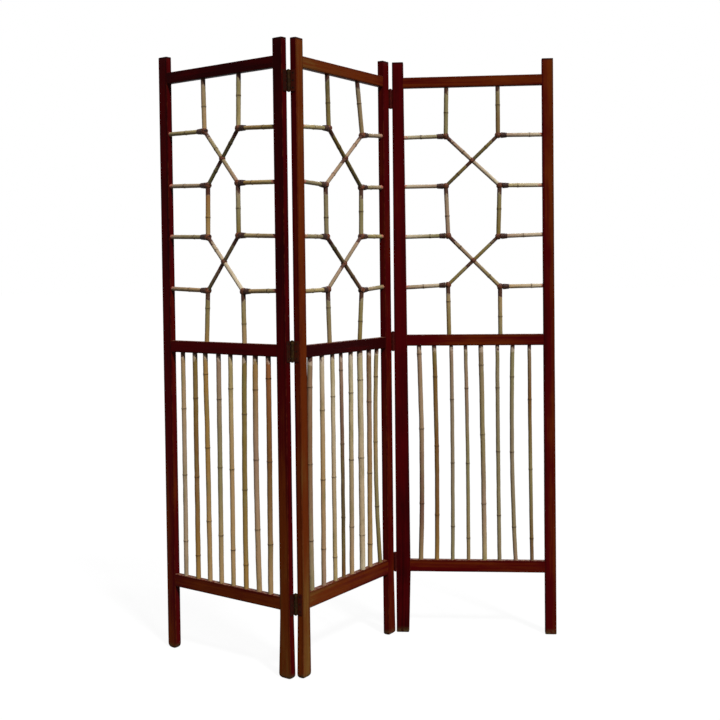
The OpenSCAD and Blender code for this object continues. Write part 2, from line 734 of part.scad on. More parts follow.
for (j = [0, 1]) {
    o = outer_side[j];
    m = middle_side[j];
    for (h = [0:2]) {
        in_panel(o[0]) hinge_place(o[0], o[1], hinge_z(j)[h]) hinge_leaf(false);
        in_panel(m[0]) hinge_place(m[0], m[1], hinge_z(j)[h]) hinge_leaf(true);
        in_panel(m[0]) hinge_place(m[0], m[1], hinge_z(j)[h]) hinge_pin();
    }
    in_panel(o[0]) hinge_screws(o[0], o[1]);
    in_panel(m[0]) hinge_screws(m[0], m[1]);
}
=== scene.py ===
"""Looks of the three-panel folding screen: stained hardwood frames, natural canes, bound joints, dark hinges.

Metres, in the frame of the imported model: +Z up, the front faces -Y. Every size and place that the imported
model has is read from it, and what is named here is only the finish and the small forms of the surfaces.
"""

import math

import bmesh
import bpy
import numpy as np
from mathutils import Matrix, Vector, noise


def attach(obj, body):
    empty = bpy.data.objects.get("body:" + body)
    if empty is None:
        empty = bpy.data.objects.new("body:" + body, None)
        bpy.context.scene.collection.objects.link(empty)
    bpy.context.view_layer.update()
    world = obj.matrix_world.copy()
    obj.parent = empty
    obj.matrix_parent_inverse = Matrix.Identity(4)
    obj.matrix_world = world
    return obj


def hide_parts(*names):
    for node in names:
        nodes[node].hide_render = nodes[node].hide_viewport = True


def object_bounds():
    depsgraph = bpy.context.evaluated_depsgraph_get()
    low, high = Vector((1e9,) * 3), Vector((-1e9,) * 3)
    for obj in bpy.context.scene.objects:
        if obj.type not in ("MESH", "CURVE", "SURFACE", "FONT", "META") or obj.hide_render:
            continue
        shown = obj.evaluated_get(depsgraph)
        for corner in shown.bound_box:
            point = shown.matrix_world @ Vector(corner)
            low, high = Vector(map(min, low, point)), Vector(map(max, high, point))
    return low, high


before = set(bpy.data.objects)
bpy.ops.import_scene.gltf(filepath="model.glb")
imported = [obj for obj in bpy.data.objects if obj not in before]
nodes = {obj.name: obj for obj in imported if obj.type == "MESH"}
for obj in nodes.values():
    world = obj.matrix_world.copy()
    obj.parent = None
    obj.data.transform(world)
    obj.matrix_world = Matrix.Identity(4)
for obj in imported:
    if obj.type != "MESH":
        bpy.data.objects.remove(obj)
cad_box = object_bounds()
scene = bpy.context.scene

MM = 0.001
POSTS = {
    "left": ("left_outer", "left_hinge"),
    "middle": ("middle_left", "middle_right"),
    "right": ("right_hinge", "right_outer"),
}


def srgb(code):
    """Linear color of a hex code."""
    values = [int(code[i:i + 2], 16) / 255 for i in (1, 3, 5)]
    return tuple(v / 12.92 if v <= 0.04045 else ((v + 0.055) / 1.055) ** 2.4 for v in values) + (1.0,)


def new_object(name, data):
    thing = bpy.data.objects.new(name, data)
    scene.collection.objects.link(thing)
    return thing


# Camera

FRAME_PX = 720
LENS_PX = 1183.27
CENTRE_ROW_PX = 310
CAMERA_PLACE = (-3.49 * MM, -3577.41 * MM, 1170.57 * MM)
CAMERA_DIP = 1.93
CAMERA_ROLL = 0.668
SENSOR = 36.0


def make_camera():
    """Camera at the photograph's viewing angle, level but for a slight dip and roll."""
    data = bpy.data.cameras.new("camera")
    data.sensor_width = SENSOR
    data.lens = LENS_PX / FRAME_PX * SENSOR
    data.shift_y = -(FRAME_PX / 2 - CENTRE_ROW_PX) / FRAME_PX
    tip = Matrix.Rotation(math.radians(90 - CAMERA_DIP), 4, "X")
    roll = Matrix.Rotation(math.radians(-CAMERA_ROLL), 4, "Z")
    scene.camera = new_object("camera", data)
    scene.camera.matrix_world = Matrix.Translation(CAMERA_PLACE) @ tip @ roll


make_camera()


# Building node trees

FLOAT = "NodeSocketFloat"
INT = "NodeSocketInt"
VECTOR = "NodeSocketVector"
COLOR = "NodeSocketColor"
GEOMETRY = "NodeSocketGeometry"
MATERIAL = "NodeSocketMaterial"


def new_group(name, kind, inputs, outputs):
    """Node group with named inputs (name, type, value) and outputs (name, type)."""
    group = bpy.data.node_groups.new(name, kind)
    for label, socket_type, value in inputs:
        socket = group.interface.new_socket(label, in_out="INPUT", socket_type=socket_type)
        if value is not None:
            socket.default_value = value
    for label, socket_type in outputs:
        group.interface.new_socket(label, in_out="OUTPUT", socket_type=socket_type)
    entry = group.nodes.new("NodeGroupInput")
    leave = group.nodes.new("NodeGroupOutput")
    return group, entry.outputs, leave.inputs


def add(tree, kind, inputs=None, **settings):
    """Node with its settings, and its inputs by name or number, each a value or another node's output."""
    node = tree.nodes.new(kind)
    for name, value in settings.items():
        setattr(node, name, value)
    for key, value in (inputs or {}).items():
        if isinstance(value, bpy.types.NodeSocket):
            tree.links.new(value, node.inputs[key])
        else:
            node.inputs[key].default_value = value
    return node


def maths(tree, operation, a, b=0.0):
    return add(tree, "ShaderNodeMath", {0: a, 1: b}, operation=operation).outputs[0]


def plus(tree, a, b):
    return maths(tree, "ADD", a, b)


def minus(tree, a, b):
    return maths(tree, "SUBTRACT", a, b)


def times(tree, a, b):
    return maths(tree, "MULTIPLY", a, b)


def vector_maths(tree, operation, a, b=(0.0, 0.0, 0.0)):
    return add(tree, "ShaderNodeVectorMath", {0: a, 1: b}, operation=operation).outputs[0]


def level(tree, vector):
    """The part of a vector that doesn't rise."""
    return vector_maths(tree, "MULTIPLY", vector, (1.0, 1.0, 0.0))


def scaled(tree, vector, factor):
    return add(tree, "ShaderNodeVectorMath", {0: vector, "Scale": factor}, operation="SCALE").outputs[0]


def ramp(tree, value, low, high, to_low=0.0, to_high=1.0):
    """Smooth step of a value from one level to another."""
    inputs = {"Value": value, "From Min": low, "From Max": high, "To Min": to_low, "To Max": to_high}
    return add(tree, "ShaderNodeMapRange", inputs, interpolation_type="SMOOTHSTEP").outputs["Result"]


def mixed(tree, factor, a, b):
    """Color a turned into color b by a factor."""
    return add(tree, "ShaderNodeMix", {0: factor, 6: a, 7: b}, data_type="RGBA").outputs[2]


def speckle(tree, vector, scale, detail, rough=0.5):
    """Noise between 0 and 1."""
    inputs = {"Vector": vector, "Scale": scale, "Detail": detail, "Roughness": rough}
    return add(tree, "ShaderNodeTexNoise", inputs).outputs["Fac"]


def drawn_noise(tree, place, scales, detail, rough):
    """Noise between 0 and 1 with a scale of its own along each axis."""
    return speckle(tree, vector_maths(tree, "MULTIPLY", place, scales), 1.0, detail, rough)


def object_place(tree):
    return add(tree, "ShaderNodeTexCoord").outputs["Object"]


def painted(tree, name, output="Fac"):
    """A value that is stored on the piece's points."""
    return add(tree, "ShaderNodeAttribute", attribute_name=name).outputs[output]


def output_of(tree, kind, inputs=None, output="Geometry", **settings):
    """One output of a new node."""
    return add(tree, kind, inputs, **settings).outputs[output]


def position(tree):
    return output_of(tree, "GeometryNodeInputPosition", output="Position")


def upward(tree, height):
    """Vector straight up."""
    return add(tree, "ShaderNodeCombineXYZ", {"Z": height}).outputs[0]


def height_of(tree, place):
    return add(tree, "ShaderNodeSeparateXYZ", {"Vector": place}).outputs["Z"]


def link_all(tree, ends, sources):
    for name, source in sources.items():
        tree.links.new(source, ends[name])


def grown(name, mesh, tree, sizes):
    """Runs a geometry tree on a mesh of guide points, and returns the result as one plain mesh object."""
    piece = new_object(name, mesh)
    modifier = piece.modifiers.new(tree.name, "NODES")
    modifier.node_group = tree
    sockets = {s.name: s.identifier for s in tree.interface.items_tree if s.in_out == "INPUT"}
    for label, value in sizes.items():
        modifier[sockets[label]] = value
    bpy.context.view_layer.update()
    depsgraph = bpy.context.evaluated_depsgraph_get()
    result = bpy.data.meshes.new_from_object(
        piece.evaluated_get(depsgraph), preserve_all_data_layers=True, depsgraph=depsgraph)
    piece.modifiers.clear()
    piece.data = result
    return piece


# Shader groups

def lay_group():
    """What is painted on wood: place and reach in the grain, rounded edges, top face and warmth."""
    outputs = [("Lay", VECTOR), ("Reach", VECTOR), ("Arris", FLOAT), ("Upward", FLOAT), ("Warmth", FLOAT)]
    group, _, out = new_group("Lay of the grain", "ShaderNodeTree", [], outputs)
    for label, kind in outputs:
        value = painted(group, label.lower(), "Vector" if kind == VECTOR else "Fac")
        group.links.new(value, out[label])
    return group


STAINS = ("Dark stain", "Maroon stain", "Brown stain", "Olive stain")
# Scales across, through and along the grain, then the noise's detail and roughness
GRAIN_NOISE = {
    "bands": ((95.0, 95.0, 1.3), 2.0, 0.5),
    "streaks": ((230.0, 230.0, 5.0), 2.0, 0.55),
    "fibres": ((700.0, 700.0, 18.0), 2.0, 0.6),
    "pores": ((1500.0, 1500.0, 70.0), 1.0, 0.5),
    "clouds": ((22.0, 22.0, 6.0), 3.0, 0.6),
}
STAIN_PLAY = {"bands": 1.1, "streaks": 0.55, "clouds": 1.3}
# Warmth at which the stain is wholly dark, maroon, brown and olive
STAIN_STEPS = (-0.7, 0.1, 0.95, 1.7)


def grain_group():
    """Stained hardwood: soft streaks of four stains, from nearly black through maroon to brown and olive."""
    group, given, out = new_group("Stained grain", "ShaderNodeTree", [
        ("Lay", VECTOR, None),
        ("Dark stain", COLOR, (0.02, 0.0, 0.0, 1.0)),
        ("Maroon stain", COLOR, (0.05, 0.0, 0.0, 1.0)),
        ("Brown stain", COLOR, (0.1, 0.02, 0.01, 1.0)),
        ("Olive stain", COLOR, (0.1, 0.05, 0.01, 1.0)),
        ("Pore color", COLOR, (0.01, 0.0, 0.0, 1.0)),
        ("Warmth", FLOAT, 0.5),
    ], [("Color", COLOR), ("Roughness", FLOAT), ("Height", FLOAT)])
    noises = {name: drawn_noise(group, given["Lay"], *look) for name, look in GRAIN_NOISE.items()}
    fibres, pores = noises["fibres"], noises["pores"]
    warm = given["Warmth"]
    for name, play in STAIN_PLAY.items():
        warm = plus(group, warm, times(group, minus(group, noises[name], 0.5), play))
    color = given[STAINS[0]]
    for start, full, stain in zip(STAIN_STEPS, STAIN_STEPS[1:], STAINS[1:]):
        color = mixed(group, ramp(group, warm, start, full), color, given[stain])
    color = mixed(group, ramp(group, fibres, 0.45, 0.8, 0.0, 0.3), color, given["Pore color"])
    color = mixed(group, ramp(group, pores, 0.62, 0.72, 0.0, 0.35), color, given["Pore color"])
    link_all(group, out, {
        "Color": color,
        "Roughness": plus(group, ramp(group, fibres, 0.3, 0.8, 0.36, 0.50),
                          ramp(group, noises["clouds"], 0.3, 0.7, 0.0, 0.08)),
        "Height": minus(group, times(group, fibres, 0.6), ramp(group, pores, 0.6, 0.7, 0.0, 0.8)),
    })
    return group


def wear_group():
    """Wear that lightens the arrises where hands and the floor have rubbed the finish."""
    group, given, out = new_group("Edge wear", "ShaderNodeTree", [
        ("Color", COLOR, (0.5, 0.5, 0.5, 1.0)),
        ("Worn color", COLOR, (0.2, 0.05, 0.02, 1.0)),
        ("Edge", FLOAT, 0.0),
        ("Amount", FLOAT, 0.5),
    ], [("Color", COLOR)])
    patchy = speckle(group, object_place(group), 38.0, 4.0, 0.65)
    mask = times(group, times(group, ramp(group, patchy, 0.42, 0.68), given["Edge"]), given["Amount"])
    link_all(group, out, {"Color": mixed(group, mask, given["Color"], given["Worn color"])})
    return group


def dust_group():
    """Thin grey dust and handling marks in soft patches."""
    group, given, out = new_group("Dust and handling", "ShaderNodeTree", [
        ("Color", COLOR, (0.5, 0.5, 0.5, 1.0)),
        ("Roughness", FLOAT, 0.5),
        ("Dust color", COLOR, (0.3, 0.26, 0.2, 1.0)),
        ("Amount", FLOAT, 0.1),
    ], [("Color", COLOR), ("Roughness", FLOAT)])
    place = object_place(group)
    patches = ramp(group, speckle(group, place, 9.0, 5.0, 0.7), 0.45, 0.8)
    grit = ramp(group, speckle(group, place, 900.0, 2.0, 0.5), 0.55, 0.75)
    mask = times(group, plus(group, patches, times(group, grit, 0.5)), given["Amount"])
    color = mixed(group, mask, given["Color"], given["Dust color"])
    rough = plus(group, given["Roughness"], times(group, mask, 0.6))
    link_all(group, out, {"Color": color, "Roughness": rough})
    return group


# Scales across a cane both ways and along it, then the noise's detail and roughness
CANE_NOISE = {
    "fibres": ((1500.0, 1500.0, 34.0), 2.0, 0.6),
    "stretches": ((70.0, 70.0, 14.0), 3.0, 0.6),
    "blotches": ((190.0, 190.0, 60.0), 3.0, 0.65),
    "spots": ((170.0, 170.0, 120.0), 2.0, 0.5),
    "specks": ((700.0, 700.0, 420.0), 1.0, 0.5),
}
# Each noise with its color in the skin, the levels at which that starts and is full, and its strength there
CANE_MARKS = (
    ("stretches", "Olive", 0.48, 0.75, 0.6),
    ("blotches", "Rose", 0.52, 0.78, 0.4),
    ("fibres", "Ring color", 0.35, 0.75, 0.28),
    ("specks", "Ring color", 0.68, 0.78, 0.6),
    ("spots", "Ring color", 0.71, 0.79, 0.8),
)
# How far apart in the noise, in metres, canes of tone 0 and tone 1 lie
TONE_APART = 9.0


def cane_group():
    """Skin of a natural cane: greener and rosier stretches, fibres, growth rings and dark spots."""
    group, given, out = new_group("Cane skin", "ShaderNodeTree", [
        ("Olive", COLOR, (0.2, 0.2, 0.1, 1.0)),
        ("Rose", COLOR, (0.4, 0.2, 0.1, 1.0)),
        ("Ring color", COLOR, (0.05, 0.02, 0.01, 1.0)),
        ("Girth", FLOAT, 7 * MM),
    ], [("Color", COLOR), ("Roughness", FLOAT), ("Height", FLOAT)])
    lengthwise = plus(group, painted(group, "along"), times(group, painted(group, "tone"), TONE_APART))
    around = scaled(group, painted(group, "rim", "Vector"), given["Girth"])
    place = vector_maths(group, "ADD", around, upward(group, lengthwise))
    noises = {name: drawn_noise(group, place, *look) for name, look in CANE_NOISE.items()}
    color = painted(group, "skin", "Color")
    for name, mark, start, full, strength in CANE_MARKS:
        color = mixed(group, ramp(group, noises[name], start, full, 0.0, strength), color, given[mark])
    ring = times(group, ramp(group, painted(group, "ring"), 0.1, 0.9, 0.0, 0.95),
                 ramp(group, noises["blotches"], 0.3, 0.6, 0.35, 1.0))
    link_all(group, out, {
        "Color": mixed(group, ring, color, given["Ring color"]),
        "Roughness": ramp(group, noises["fibres"], 0.3, 0.7, 0.40, 0.58),
        "Height": plus(group, times(group, noises["fibres"], 0.7), times(group, noises["blotches"], 0.5)),
    })
    return group


GRAIN_LAY = lay_group()
STAINED_GRAIN = grain_group()
EDGE_WEAR = wear_group()
DUST = dust_group()
CANE_SKIN = cane_group()


# Materials

def new_material(name):
    """Material with its node tree and its Principled shader."""
    material = bpy.data.materials.new(name)
    material.use_nodes = True
    return material, material.node_tree, material.node_tree.nodes["Principled BSDF"]


def placed(tree, group, inputs=None):
    """A shader group in a material, with its own values."""
    return add(tree, "ShaderNodeGroup", inputs, node_tree=group).outputs


def surfaced(tree, shader, finish, gloss, height, relief):
    """Gives a shader its color, roughness, gloss and a fine relief of some strength and depth."""
    tree.links.new(finish["Color"], shader.inputs["Base Color"])
    tree.links.new(finish["Roughness"], shader.inputs["Roughness"])
    shader.inputs["Specular IOR Level"].default_value = gloss
    bump = add(tree, "ShaderNodeBump", {"Height": height, "Strength": relief[0], "Distance": relief[1]})
    tree.links.new(bump.outputs["Normal"], shader.inputs["Normal"])


WOOD_GLOSS = 0.012
WOOD_RELIEF = (0.3, 0.2 * MM)
WOOD_WEAR = 0.2
WOOD_DUST = 0.004
# Darker towards the edges of each face, partly stain gathered there and partly painted shade: how far from the
# edge it is darkest, and how far it reaches
EDGE_POOL_AND_SHADE = (0.5 * MM, 8 * MM)
TOP_END_DEPTH = 9 * MM
FOOT_SCUFF_Z = 22 * MM


def stained_wood(name, stains, pore, worn, end_grain, foot_scuff, dust):
    """Stained hardwood; how warm its stain is, is stored on each piece. Its dust color also paints a sheen on
    the rails' top faces.
    """
    material, tree, shader = new_material(name)
    lay = placed(tree, GRAIN_LAY)
    place = object_place(tree)
    height = height_of(tree, place)
    grain = placed(tree, STAINED_GRAIN, {
        "Lay": lay["Lay"], "Warmth": lay["Warmth"], "Pore color": srgb(pore),
        **dict(zip(STAINS, map(srgb, stains)))})
    to_edge = vector_maths(tree, "SUBTRACT", lay["Reach"], vector_maths(tree, "ABSOLUTE", lay["Lay"]))
    from_edges = add(tree, "ShaderNodeSeparateXYZ", {"Vector": to_edge}).outputs
    from_edge = maths(tree, "MAXIMUM", from_edges["X"], from_edges["Y"])
    # Painted shade with stain gathered at the edges: each face darkens towards its edges, up to halfway to the
    # darkest stain.
    edge_pooled_and_shaded = mixed(tree, ramp(tree, from_edge, *EDGE_POOL_AND_SHADE, 0.5, 0.0), grain["Color"], srgb(stains[0]))
    worn_skin = placed(tree, EDGE_WEAR, {
        "Color": edge_pooled_and_shaded, "Worn color": srgb(worn), "Edge": lay["Arris"], "Amount": WOOD_WEAR})
    scuffs = speckle(tree, place, 120.0, 4.0, 0.6)
    top = cad_box[1].z
    top_end = ramp(tree, height, top - TOP_END_DEPTH, top - 0.3 * TOP_END_DEPTH, 0.0, 0.8)
    foot_end = times(tree, ramp(tree, height, FOOT_SCUFF_Z, 0.0, 0.0, 0.9), ramp(tree, scuffs, 0.3, 0.65))
    # Dust and painted sheen: the rails' top faces lighten in patches to the dust color, partly dust and partly
    # a painted sheen where light falls on them.
    top_dust_and_sheen = times(tree, lay["Upward"], ramp(tree, scuffs, 0.4, 0.62, 0.0, 0.7))
    color = mixed(tree, top_end, worn_skin["Color"], srgb(end_grain))
    color = mixed(tree, foot_end, color, srgb(foot_scuff))
    finish = placed(tree, DUST, {
        "Color": mixed(tree, top_dust_and_sheen, color, srgb(dust)), "Roughness": grain["Roughness"],
        "Dust color": srgb(dust), "Amount": WOOD_DUST})
    surfaced(tree, shader, finish, WOOD_GLOSS, grain["Height"], WOOD_RELIEF)
    return material


CANE_GLOSS = 0.05
CANE_RELIEF = (0.5, 0.3 * MM)
CANE_COLORS = {"Olive": srgb("#716a40"), "Rose": srgb("#8c6a53"), "Ring color": srgb("#2e1a0c")}
CANE_DUST = {"Dust color": srgb("#b7a98c"), "Amount": 0.1}
PALE_HEAD = srgb("#b3a08f")
HEAD_SOCKET = 10 * MM
PALE_REACH = 16 * MM
HEAD_FADE = 8 * MM


def natural_cane(name, girth, pale_head, tip_tint, tip_depth):
    """Cane with its growth rings; its head is paler under the rail, and its tip takes a tint: on row and
    lattice canes stain with a painted shadow of the rail, on side canes a painted reflection of the red post.
    """
    material, tree, shader = new_material(name)
    skin = placed(tree, CANE_SKIN, {**CANE_COLORS, "Girth": girth})
    ragged = ramp(tree, speckle(tree, object_place(tree), 90.0, 3.0), 0.3, 0.7, -HEAD_FADE, HEAD_FADE)
    head = plus(tree, painted(tree, "from_head"), ragged)
    color = skin["Color"]
    # Paler head, then the tinted tip: stain with a painted shadow of the rail, and on side canes a painted
    # reflection of the post instead.
    for depth, strength, stain in ((PALE_REACH, pale_head, PALE_HEAD), (tip_depth, 0.9, srgb(tip_tint))):
        end = HEAD_SOCKET + depth
        color = mixed(tree, ramp(tree, head, end, end + HEAD_FADE, strength, 0.0), color, stain)
    finish = placed(tree, DUST, {"Color": color, "Roughness": skin["Roughness"], **CANE_DUST})
    surfaced(tree, shader, finish, CANE_GLOSS, skin["Height"], CANE_RELIEF)
    return material


STRIP_RELIEF = (0.4, 0.15 * MM)
STRIP_ROUGHNESS = 0.5
STRIP_DUST = {"Dust color": srgb("#6b4c38"), "Amount": 0.06}
STRIP_FIBRE = srgb("#160a06")
STRAND_PLAY = 0.35


def binding_strip(name, dark, light, gloss):
    """Stained strip of cane peel, mottled, with fine fibres; each winding has a tone of its own."""
    material, tree, shader = new_material(name)
    place = object_place(tree)
    mottle = ramp(tree, speckle(tree, place, 260.0, 3.0, 0.6), 0.35, 0.7)
    fine = speckle(tree, place, 1500.0, 2.0, 0.6)
    amount = plus(tree, mottle, times(tree, painted(tree, "tone"), STRAND_PLAY))
    color = mixed(tree, amount, srgb(dark), srgb(light))
    color = mixed(tree, ramp(tree, fine, 0.5, 0.75, 0.0, 0.5), color, STRIP_FIBRE)
    finish = placed(tree, DUST, {"Color": color, "Roughness": STRIP_ROUGHNESS, **STRIP_DUST})
    surfaced(tree, shader, finish, gloss, fine, STRIP_RELIEF)
    return material


METAL_GLOSS = 0.05
METAL_RELIEF = (0.3, 0.1 * MM)
METAL_DUST = 0.25
ROUGHNESS_PLAY = 0.18
KNUCKLE_RADIUS = 5 * MM
PLATE_START = 1.3 * KNUCKLE_RADIUS


def dark_metal(name, base, rubbed, metallic, rough, axis=None, plate=None):
    """Blackened hinge metal, rubbed lighter in patches and dusty; a leaf's plate takes the color of its post.

    The axis is where the hinge's pin stands, and outside its knuckles the leaf is a plate.
    """
    material, tree, shader = new_material(name)
    place = object_place(tree)
    patches = speckle(tree, place, 120.0, 4.0, 0.65)
    pits = speckle(tree, place, 1200.0, 2.0)
    color = mixed(tree, ramp(tree, patches, 0.45, 0.72), srgb(base), srgb(rubbed))
    if axis is not None:
        from_axis = level(tree, vector_maths(tree, "SUBTRACT", place, (*axis, 0.0)))
        distance = add(tree, "ShaderNodeVectorMath", {0: from_axis}, operation="LENGTH").outputs["Value"]
        on_plate = times(tree, ramp(tree, distance, KNUCKLE_RADIUS, PLATE_START),
                         ramp(tree, patches, 0.3, 0.6, 1.0, 0.8))
        color = mixed(tree, on_plate, color, srgb(plate))
    finish = placed(tree, DUST, {
        "Color": color, "Roughness": ramp(tree, patches, 0.3, 0.7, rough, rough + ROUGHNESS_PLAY),
        "Dust color": srgb(rubbed), "Amount": METAL_DUST})
    shader.inputs["Metallic"].default_value = metallic
    surfaced(tree, shader, finish, METAL_GLOSS, pits, METAL_RELIEF)
    return material


# The last color is the dust, which on the rails' top faces also stands for a painted sheen.
WOOD = stained_wood("stained_wood", ("#240203", "#410305", "#5a2306", "#65441c"),
                    "#140302", "#6e3015", "#1a0806", "#4a3f24", "#7d6250")
# Tips: the dark ones of row and lattice canes are stain with a painted shadow of the rail; the rose one of
# side canes is a painted reflection of the red post.
LOWER_CANE = natural_cane("row_cane", 7 * MM, 0.5, "#3a1510", 5 * MM)
LATTICE_CANE = natural_cane("lattice_cane", 7 * MM, 0.25, "#35100c", 12 * MM)
SIDE_CANE = natural_cane("side_cane", 6.5 * MM, 0.0, "#a05c4c", 3 * MM)
STRIP = binding_strip("binding_strip", "#220f09", "#6b3c24", 0.15)
SLEEVE_STRIP = binding_strip("sleeve_strip", "#170c08", "#41261b", 0.15)
CORE = binding_strip("binding_core", "#120806", "#241009", 0.1)
SCREW_METAL = dark_metal("dark_screw_steel", "#1c0f0b", "#331b12", 0.4, 0.45)


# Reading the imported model

def vertices(node):
    """Corners of a CAD node's mesh, as rows of x, y, z."""
    flat = np.zeros(len(node.data.vertices) * 3, np.float32)
    node.data.vertices.foreach_get("co", flat)
    return flat.reshape(-1, 3).astype(float)


MERGE_DISTANCE = 0.01 * MM


def solids(node):
    """Corners of each separate solid of a CAD node, from a merged copy of its mesh."""
    merged = bmesh.new()
    merged.from_mesh(node.data)
    bmesh.ops.remove_doubles(merged, verts=merged.verts, dist=MERGE_DISTANCE)
    left = set(merged.verts)
    found = []
    while left:
        todo = [left.pop()]
        solid = []
        while todo:
            vertex = todo.pop()
            solid.append(tuple(vertex.co))
            for edge in vertex.link_edges:
                other = edge.other_vert(vertex)
                if other in left:
                    left.discard(other)
                    todo.append(other)
        found.append(np.array(solid, float))
    merged.free()
    return sorted(found, key=lambda points: tuple(points.mean(0).round(4)))


def middle_of(points):
    return (points.min(0) + points.max(0)) / 2


def thinnest_turn(points):
    """Direction in degrees of a long straight bar seen from above: turned that way, it is thinnest."""
    turn = 0.0
    for span in (90.0, 6.0, 0.5, 0.04):
        tries = turn + np.linspace(-span, span, 61)
        angles = np.radians(tries)
        across = np.outer(points[:, 1], np.cos(angles)) - np.outer(points[:, 0], np.sin(angles))
        turn = tries[np.argmin(np.ptp(across, axis=0))]
    return turn


class Panel:
    """One panel and its own frame: s runs along it from left to right, t from front to back, z is up."""

    def __init__(self, name):
        self.name = name
        self.body = name + "_panel"
        rail = vertices(nodes[self.body + "_top_rail"])
        angle = math.radians(thinnest_turn(rail))
        if math.cos(angle) < 0:
            angle += math.pi
        self.axes = np.array([
            [math.cos(angle), math.sin(angle), 0.0],
            [-math.sin(angle), math.cos(angle), 0.0],
            [0.0, 0.0, 1.0],
        ])
        self.origin = np.zeros(3)
        self.origin = middle_of(self.into(rail)) * (1.0, 1.0, 0.0)

    def into(self, points):
        return np.asarray(points) @ self.axes.T - self.origin

    def out(self, points):
        return (np.asarray(points) + self.origin) @ self.axes

    def node(self, part):
        return nodes[f"{self.body}_{part}"]


ATTRIBUTE_VALUES = {"FLOAT": "value", "BOOLEAN": "value", "FLOAT_VECTOR": "vector", "FLOAT_COLOR": "color"}


def paint(mesh, name, values, data_type="FLOAT"):
    """Stores a value on each point of a mesh."""
    data = mesh.attributes.new(name, data_type, "POINT").data
    data.foreach_set(ATTRIBUTE_VALUES[data_type], np.ravel(values))


panels = [Panel(name) for name in POSTS]


# Wood

FLAT_SUPPORT = 0.6 * MM
CORNER_STEPS = 4
WAVE_DEPTH = 0.35 * MM
WAVE_PITCH = 22 * MM
WAVE_LENGTH = 160 * MM
GRAIN_SHIFT = 0.73
RAIL_BITE = 1.0 * MM
END_SUPPORT = 0.8 * MM
LEVEL_LEAST = 16
# Points this close to the plane of a face lie on it
SAME_FACE = 0.02 * MM
POST_SEED = 1.3
RAIL_SEED = 11.7

# How brown each piece's stain is: evenly spaced down or along its front, then at both ends of its other faces.
# -0.7 is nearly black, 0 maroon, 1 brown and 1.7 olive. A post's lean makes its front browner to the right.
POST_WARMTH = {
    "left_outer": ((-0.35, -0.25, -0.1, 0.35, 0.65), (0.05, 0.3)),
    "left_hinge": ((-0.5, -0.5, -0.25, 0.95, 1.25), (-0.2, 0.1)),
    "middle_left": ((1.1, 0.85, 0.8, 1.05, 1.4), (-0.1, 0.95)),
    "middle_right": ((0.0, 0.1, 0.15, 0.35, 0.35), (0.1, 0.3)),
    "right_hinge": ((0.0, -0.05, -0.1, -0.35, -0.45), (-0.1, -0.3)),
    "right_outer": ((0.75, 0.4, 0.1, 0.3, 0.15), (-0.2, -0.3)),
}
POST_LEAN = {"left_outer": -0.15, "right_outer": 0.45}
RAIL_WARMTH = {
    ("left", "top"): ((-0.65, -0.55), (-0.5, -0.5)), ("left", "middle"): ((-0.05, 0.05), (0.0, 0.0)),
    ("left", "bottom"): ((0.6, 0.7, 0.75), (0.6, 0.6)), ("middle", "top"): ((1.25, 0.95, 0.5), (0.5, 0.3)),
    ("middle", "middle"): ((-0.65, -0.6), (0.0, 0.0)), ("middle", "bottom"): ((1.2, 0.6, 0.4), (0.5, 0.5)),
    ("right", "top"): ((0.5, 0.65, 0.45), (0.4, 0.4)), ("right", "middle"): ((0.15, 0.45, 0.3), (0.2, 0.2)),
    ("right", "bottom"): ((0.3, 0.35, 0.35), (0.2, 0.2)),
}


def section(low, high, rounding):
    """Rounded rectangle between two corners, as rows of a, b and whether the point is on a rounded edge."""
    rows = []
    r = max(rounding, FLAT_SUPPORT)
    for corner, (right, far) in enumerate([(True, False), (True, True), (False, True), (False, False)]):
        centre_a = high[0] - r if right else low[0] + r
        centre_b = high[1] - r if far else low[1] + r
        for k in range(-1, CORNER_STEPS + 2):
            on_edge = 0 <= k <= CORNER_STEPS
            angle = math.radians(90 * (corner - 1) + 90 * min(max(k, 0), CORNER_STEPS) / CORNER_STEPS)
            slide = 0.0 if on_edge else math.copysign(FLAT_SUPPORT, k)
            a = centre_a + r * math.cos(angle) - slide * math.sin(angle)
            b = centre_b + r * math.sin(angle) + slide * math.cos(angle)
            rows.append((a, b, float(on_edge)))
    return rows


def hand_planed(stations, seed):
    """Draws each face of a bar in by a slow wave of up to WAVE_DEPTH, as a hand plane leaves it."""
    waved = []
    for along, low, high, rounding in stations:
        dips = [WAVE_DEPTH * (0.5 + 0.5 * noise.noise(Vector((seed, 7.0 * side, along / WAVE_LENGTH))))
                for side in range(4)]
        near = (low[0] + dips[0], low[1] + dips[1])
        far = (high[0] - dips[2], high[1] - dips[3])
        waved.append((along, near, far, rounding))
    return waved


